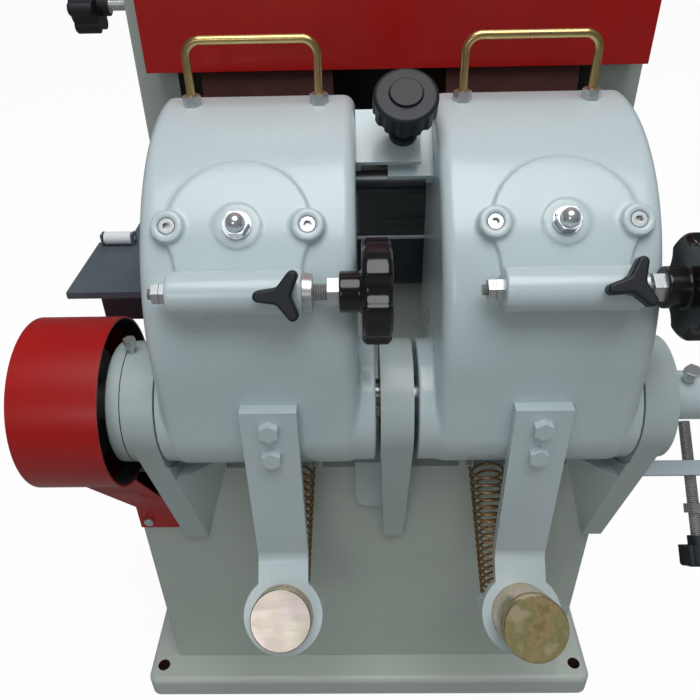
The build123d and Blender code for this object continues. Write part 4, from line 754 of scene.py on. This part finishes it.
# a round wire along the points, with flat ends
def wireMesh(name, points, radius, sides):
    vertices, faces = [], []
    across = None
    last = len(points) - 1
    for step, point in enumerate(points):
        ahead = (points[min(step + 1, last)] - points[max(step - 1, 0)]).normalized()
        across = ahead.orthogonal() if across is None else across - ahead * across.dot(ahead)
        across = across.normalized()
        beside = ahead.cross(across)
        for corner in range(sides):
            angle = tau * corner / sides
            vertices.append((point + (across * cos(angle) + beside * sin(angle)) * radius) * mm)
    for step in range(last):
        low, high = step * sides, (step + 1) * sides
        for corner in range(sides):
            after = (corner + 1) % sides
            faces.append((low + corner, low + after, high + after, high + corner))
    faces.append(tuple(reversed(range(sides))))
    faces.append(tuple(range(last * sides, (last + 1) * sides)))
    mesh = bpy.data.meshes.new(name)
    mesh.from_pydata(vertices, [], faces)
    for step, face in enumerate(mesh.polygons):
        face.use_smooth = step < last * sides
    return mesh


def addWire(name, points, radius, sides, label):
    wire = bpy.data.objects.new(name, wireMesh(name, points, radius, sides))
    bpy.context.scene.collection.objects.link(wire)
    wire.data.materials.append(finish[label])
    return wire


for side, ends in springEnds.items():
    top, bottom = Vector(ends["top"]), Vector(ends["bottom"])
    path = springPath(top, bottom, ends["hand"], springSpec)
    coil = addWire(f"balanceSpring.{side}", path, springSpec["wire"], springSpec["ring"], "springBronze")
    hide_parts(f"press_spring_{side}")
    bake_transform(coil)
print("springs wound")

# thin dark ring of painted shade in the seam between the left boss and its bearing cap, in mm
seamShadeSpec = dict(x=-229.5, radius=60.9, line=0.55, steps=96, ring=6)


def addSeamShade(spec):
    turns = [tau * step / spec["steps"] for step in range(spec["steps"] + 1)]
    hub = Vector((spec["x"] * mm, shaft.y, shaft.z)) / mm
    path = [hub + Vector((0, cos(turn), sin(turn))) * spec["radius"] for turn in turns]
    seamShade = addWire("capSeamShade", path, spec["line"], spec["ring"], "rubberBlack")
    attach(seamShade, "frame")


addSeamShade(seamShadeSpec)
print("gasket laid")

# place in mm, turns in degrees, clip in metres
cameraSpec = dict(place=(-2.67, -808.74, 927.9), pitch=35.15, yaw=1.21, roll=-1.39, lens=36.07, sensor=36.0,
                  clip=(0.01, 60.0))


def addCamera(spec):
    data = bpy.data.cameras.new("photoCamera")
    data.lens = spec["lens"]
    data.sensor_width = spec["sensor"]
    data.clip_start, data.clip_end = spec["clip"]
    camera = bpy.data.objects.new("photoCamera", data)
    bpy.context.scene.collection.objects.link(camera)
    pitch, yaw, roll = (radians(spec[key]) for key in ("pitch", "yaw", "roll"))
    ahead = Vector((-sin(yaw) * cos(pitch), cos(yaw) * cos(pitch), -sin(pitch)))
    level = Vector((cos(yaw), sin(yaw), 0.0))
    upright = level.cross(ahead)
    right = level * cos(roll) + upright * sin(roll)
    up = upright * cos(roll) - level * sin(roll)
    turned = Matrix((right, up, -ahead)).transposed().to_4x4()
    camera.matrix_world = Matrix.Translation(Vector(spec["place"]) * mm) @ turned
    bpy.context.scene.camera = camera


# metres and watts
lampSpecs = [
    dict(name="overheadLamp", place=(0.15, -0.95, 3.1), aim=(0.05, -0.2, 0.6), size=2.2, power=50.0),
    dict(name="frontFillLamp", place=(-0.8, -2.9, 1.6), aim=(0.0, -0.3, 0.4), size=1.0, power=6.0),
    dict(name="rearFillLamp", place=(0.4, 2.6, 2.4), aim=(0.0, 0.1, 0.7), size=2.0, power=24.0),
]


def addLamp(spec):
    data = bpy.data.lights.new(spec["name"], "AREA")
    data.shape = "DISK"
    data.size = spec["size"]
    data.energy = spec["power"]
    lamp = bpy.data.objects.new(spec["name"], data)
    bpy.context.scene.collection.objects.link(lamp)
    lamp.location = spec["place"]
    lamp.rotation_mode = "QUATERNION"
    lamp.rotation_quaternion = (Vector(spec["aim"]) - Vector(spec["place"])).to_track_quat("-Z", "Y")


worldSpec = dict(colour=(1.0, 1.0, 1.0), diffuse=0.27, mirrored=0.09, seen=1.0)


def addWorld(spec):
    world = bpy.data.worlds.new("studioWorld")
    bpy.context.scene.world = world
    world.use_nodes = True
    tree = world.node_tree
    background = tree.nodes["Background"]
    plug(tree, background.inputs["Color"], spec["colour"])
    path = tree.nodes.new("ShaderNodeLightPath")
    strength = addRange(tree, path.outputs["Is Glossy Ray"], 0.0, 1.0, spec["diffuse"], spec["mirrored"])
    white = addMath(tree, "MULTIPLY", path.outputs["Is Camera Ray"], spec["seen"] - spec["diffuse"])
    tree.links.new(addMath(tree, "ADD", strength, white), background.inputs["Strength"])


floorSpec = dict(size=20.0, colour=(0.32, 0.32, 0.32), roughness=0.9, glow=1.12, glowShare=0.85)


def addFloor(spec):
    size = spec["size"]
    corners = [(-size, -size, 0), (size, -size, 0), (size, size, 0), (-size, size, 0)]
    mesh = bpy.data.meshes.new("studioFloor")
    mesh.from_pydata(corners, [], [(0, 1, 2, 3)])
    floorPiece = bpy.data.objects.new("studioFloor", mesh)
    bpy.context.scene.collection.objects.link(floorPiece)
    material = bpy.data.materials.new("paleFloor")
    material.use_nodes = True
    tree = material.node_tree
    shader = tree.nodes["Principled BSDF"]
    plug(tree, shader.inputs["Base Color"], spec["colour"])
    plug(tree, shader.inputs["Roughness"], spec["roughness"])
    glow = tree.nodes.new("ShaderNodeEmission")
    plug(tree, glow.inputs["Strength"], spec["glow"])
    path = tree.nodes.new("ShaderNodeLightPath")
    share = addMath(tree, "MULTIPLY", path.outputs["Is Camera Ray"], spec["glowShare"])
    blend = tree.nodes.new("ShaderNodeMixShader")
    for socket, value in zip(blend.inputs, (share, shader.outputs[0], glow.outputs[0])):
        tree.links.new(value, socket)
    tree.links.new(blend.outputs[0], tree.nodes["Material Output"].inputs["Surface"])
    mesh.materials.append(material)


addCamera(cameraSpec)
for spec in lampSpecs:
    addLamp(spec)
addWorld(worldSpec)
addFloor(floorSpec)
bpy.context.scene.view_settings.view_transform = "Standard"
print("camera, lamps and floor ready")
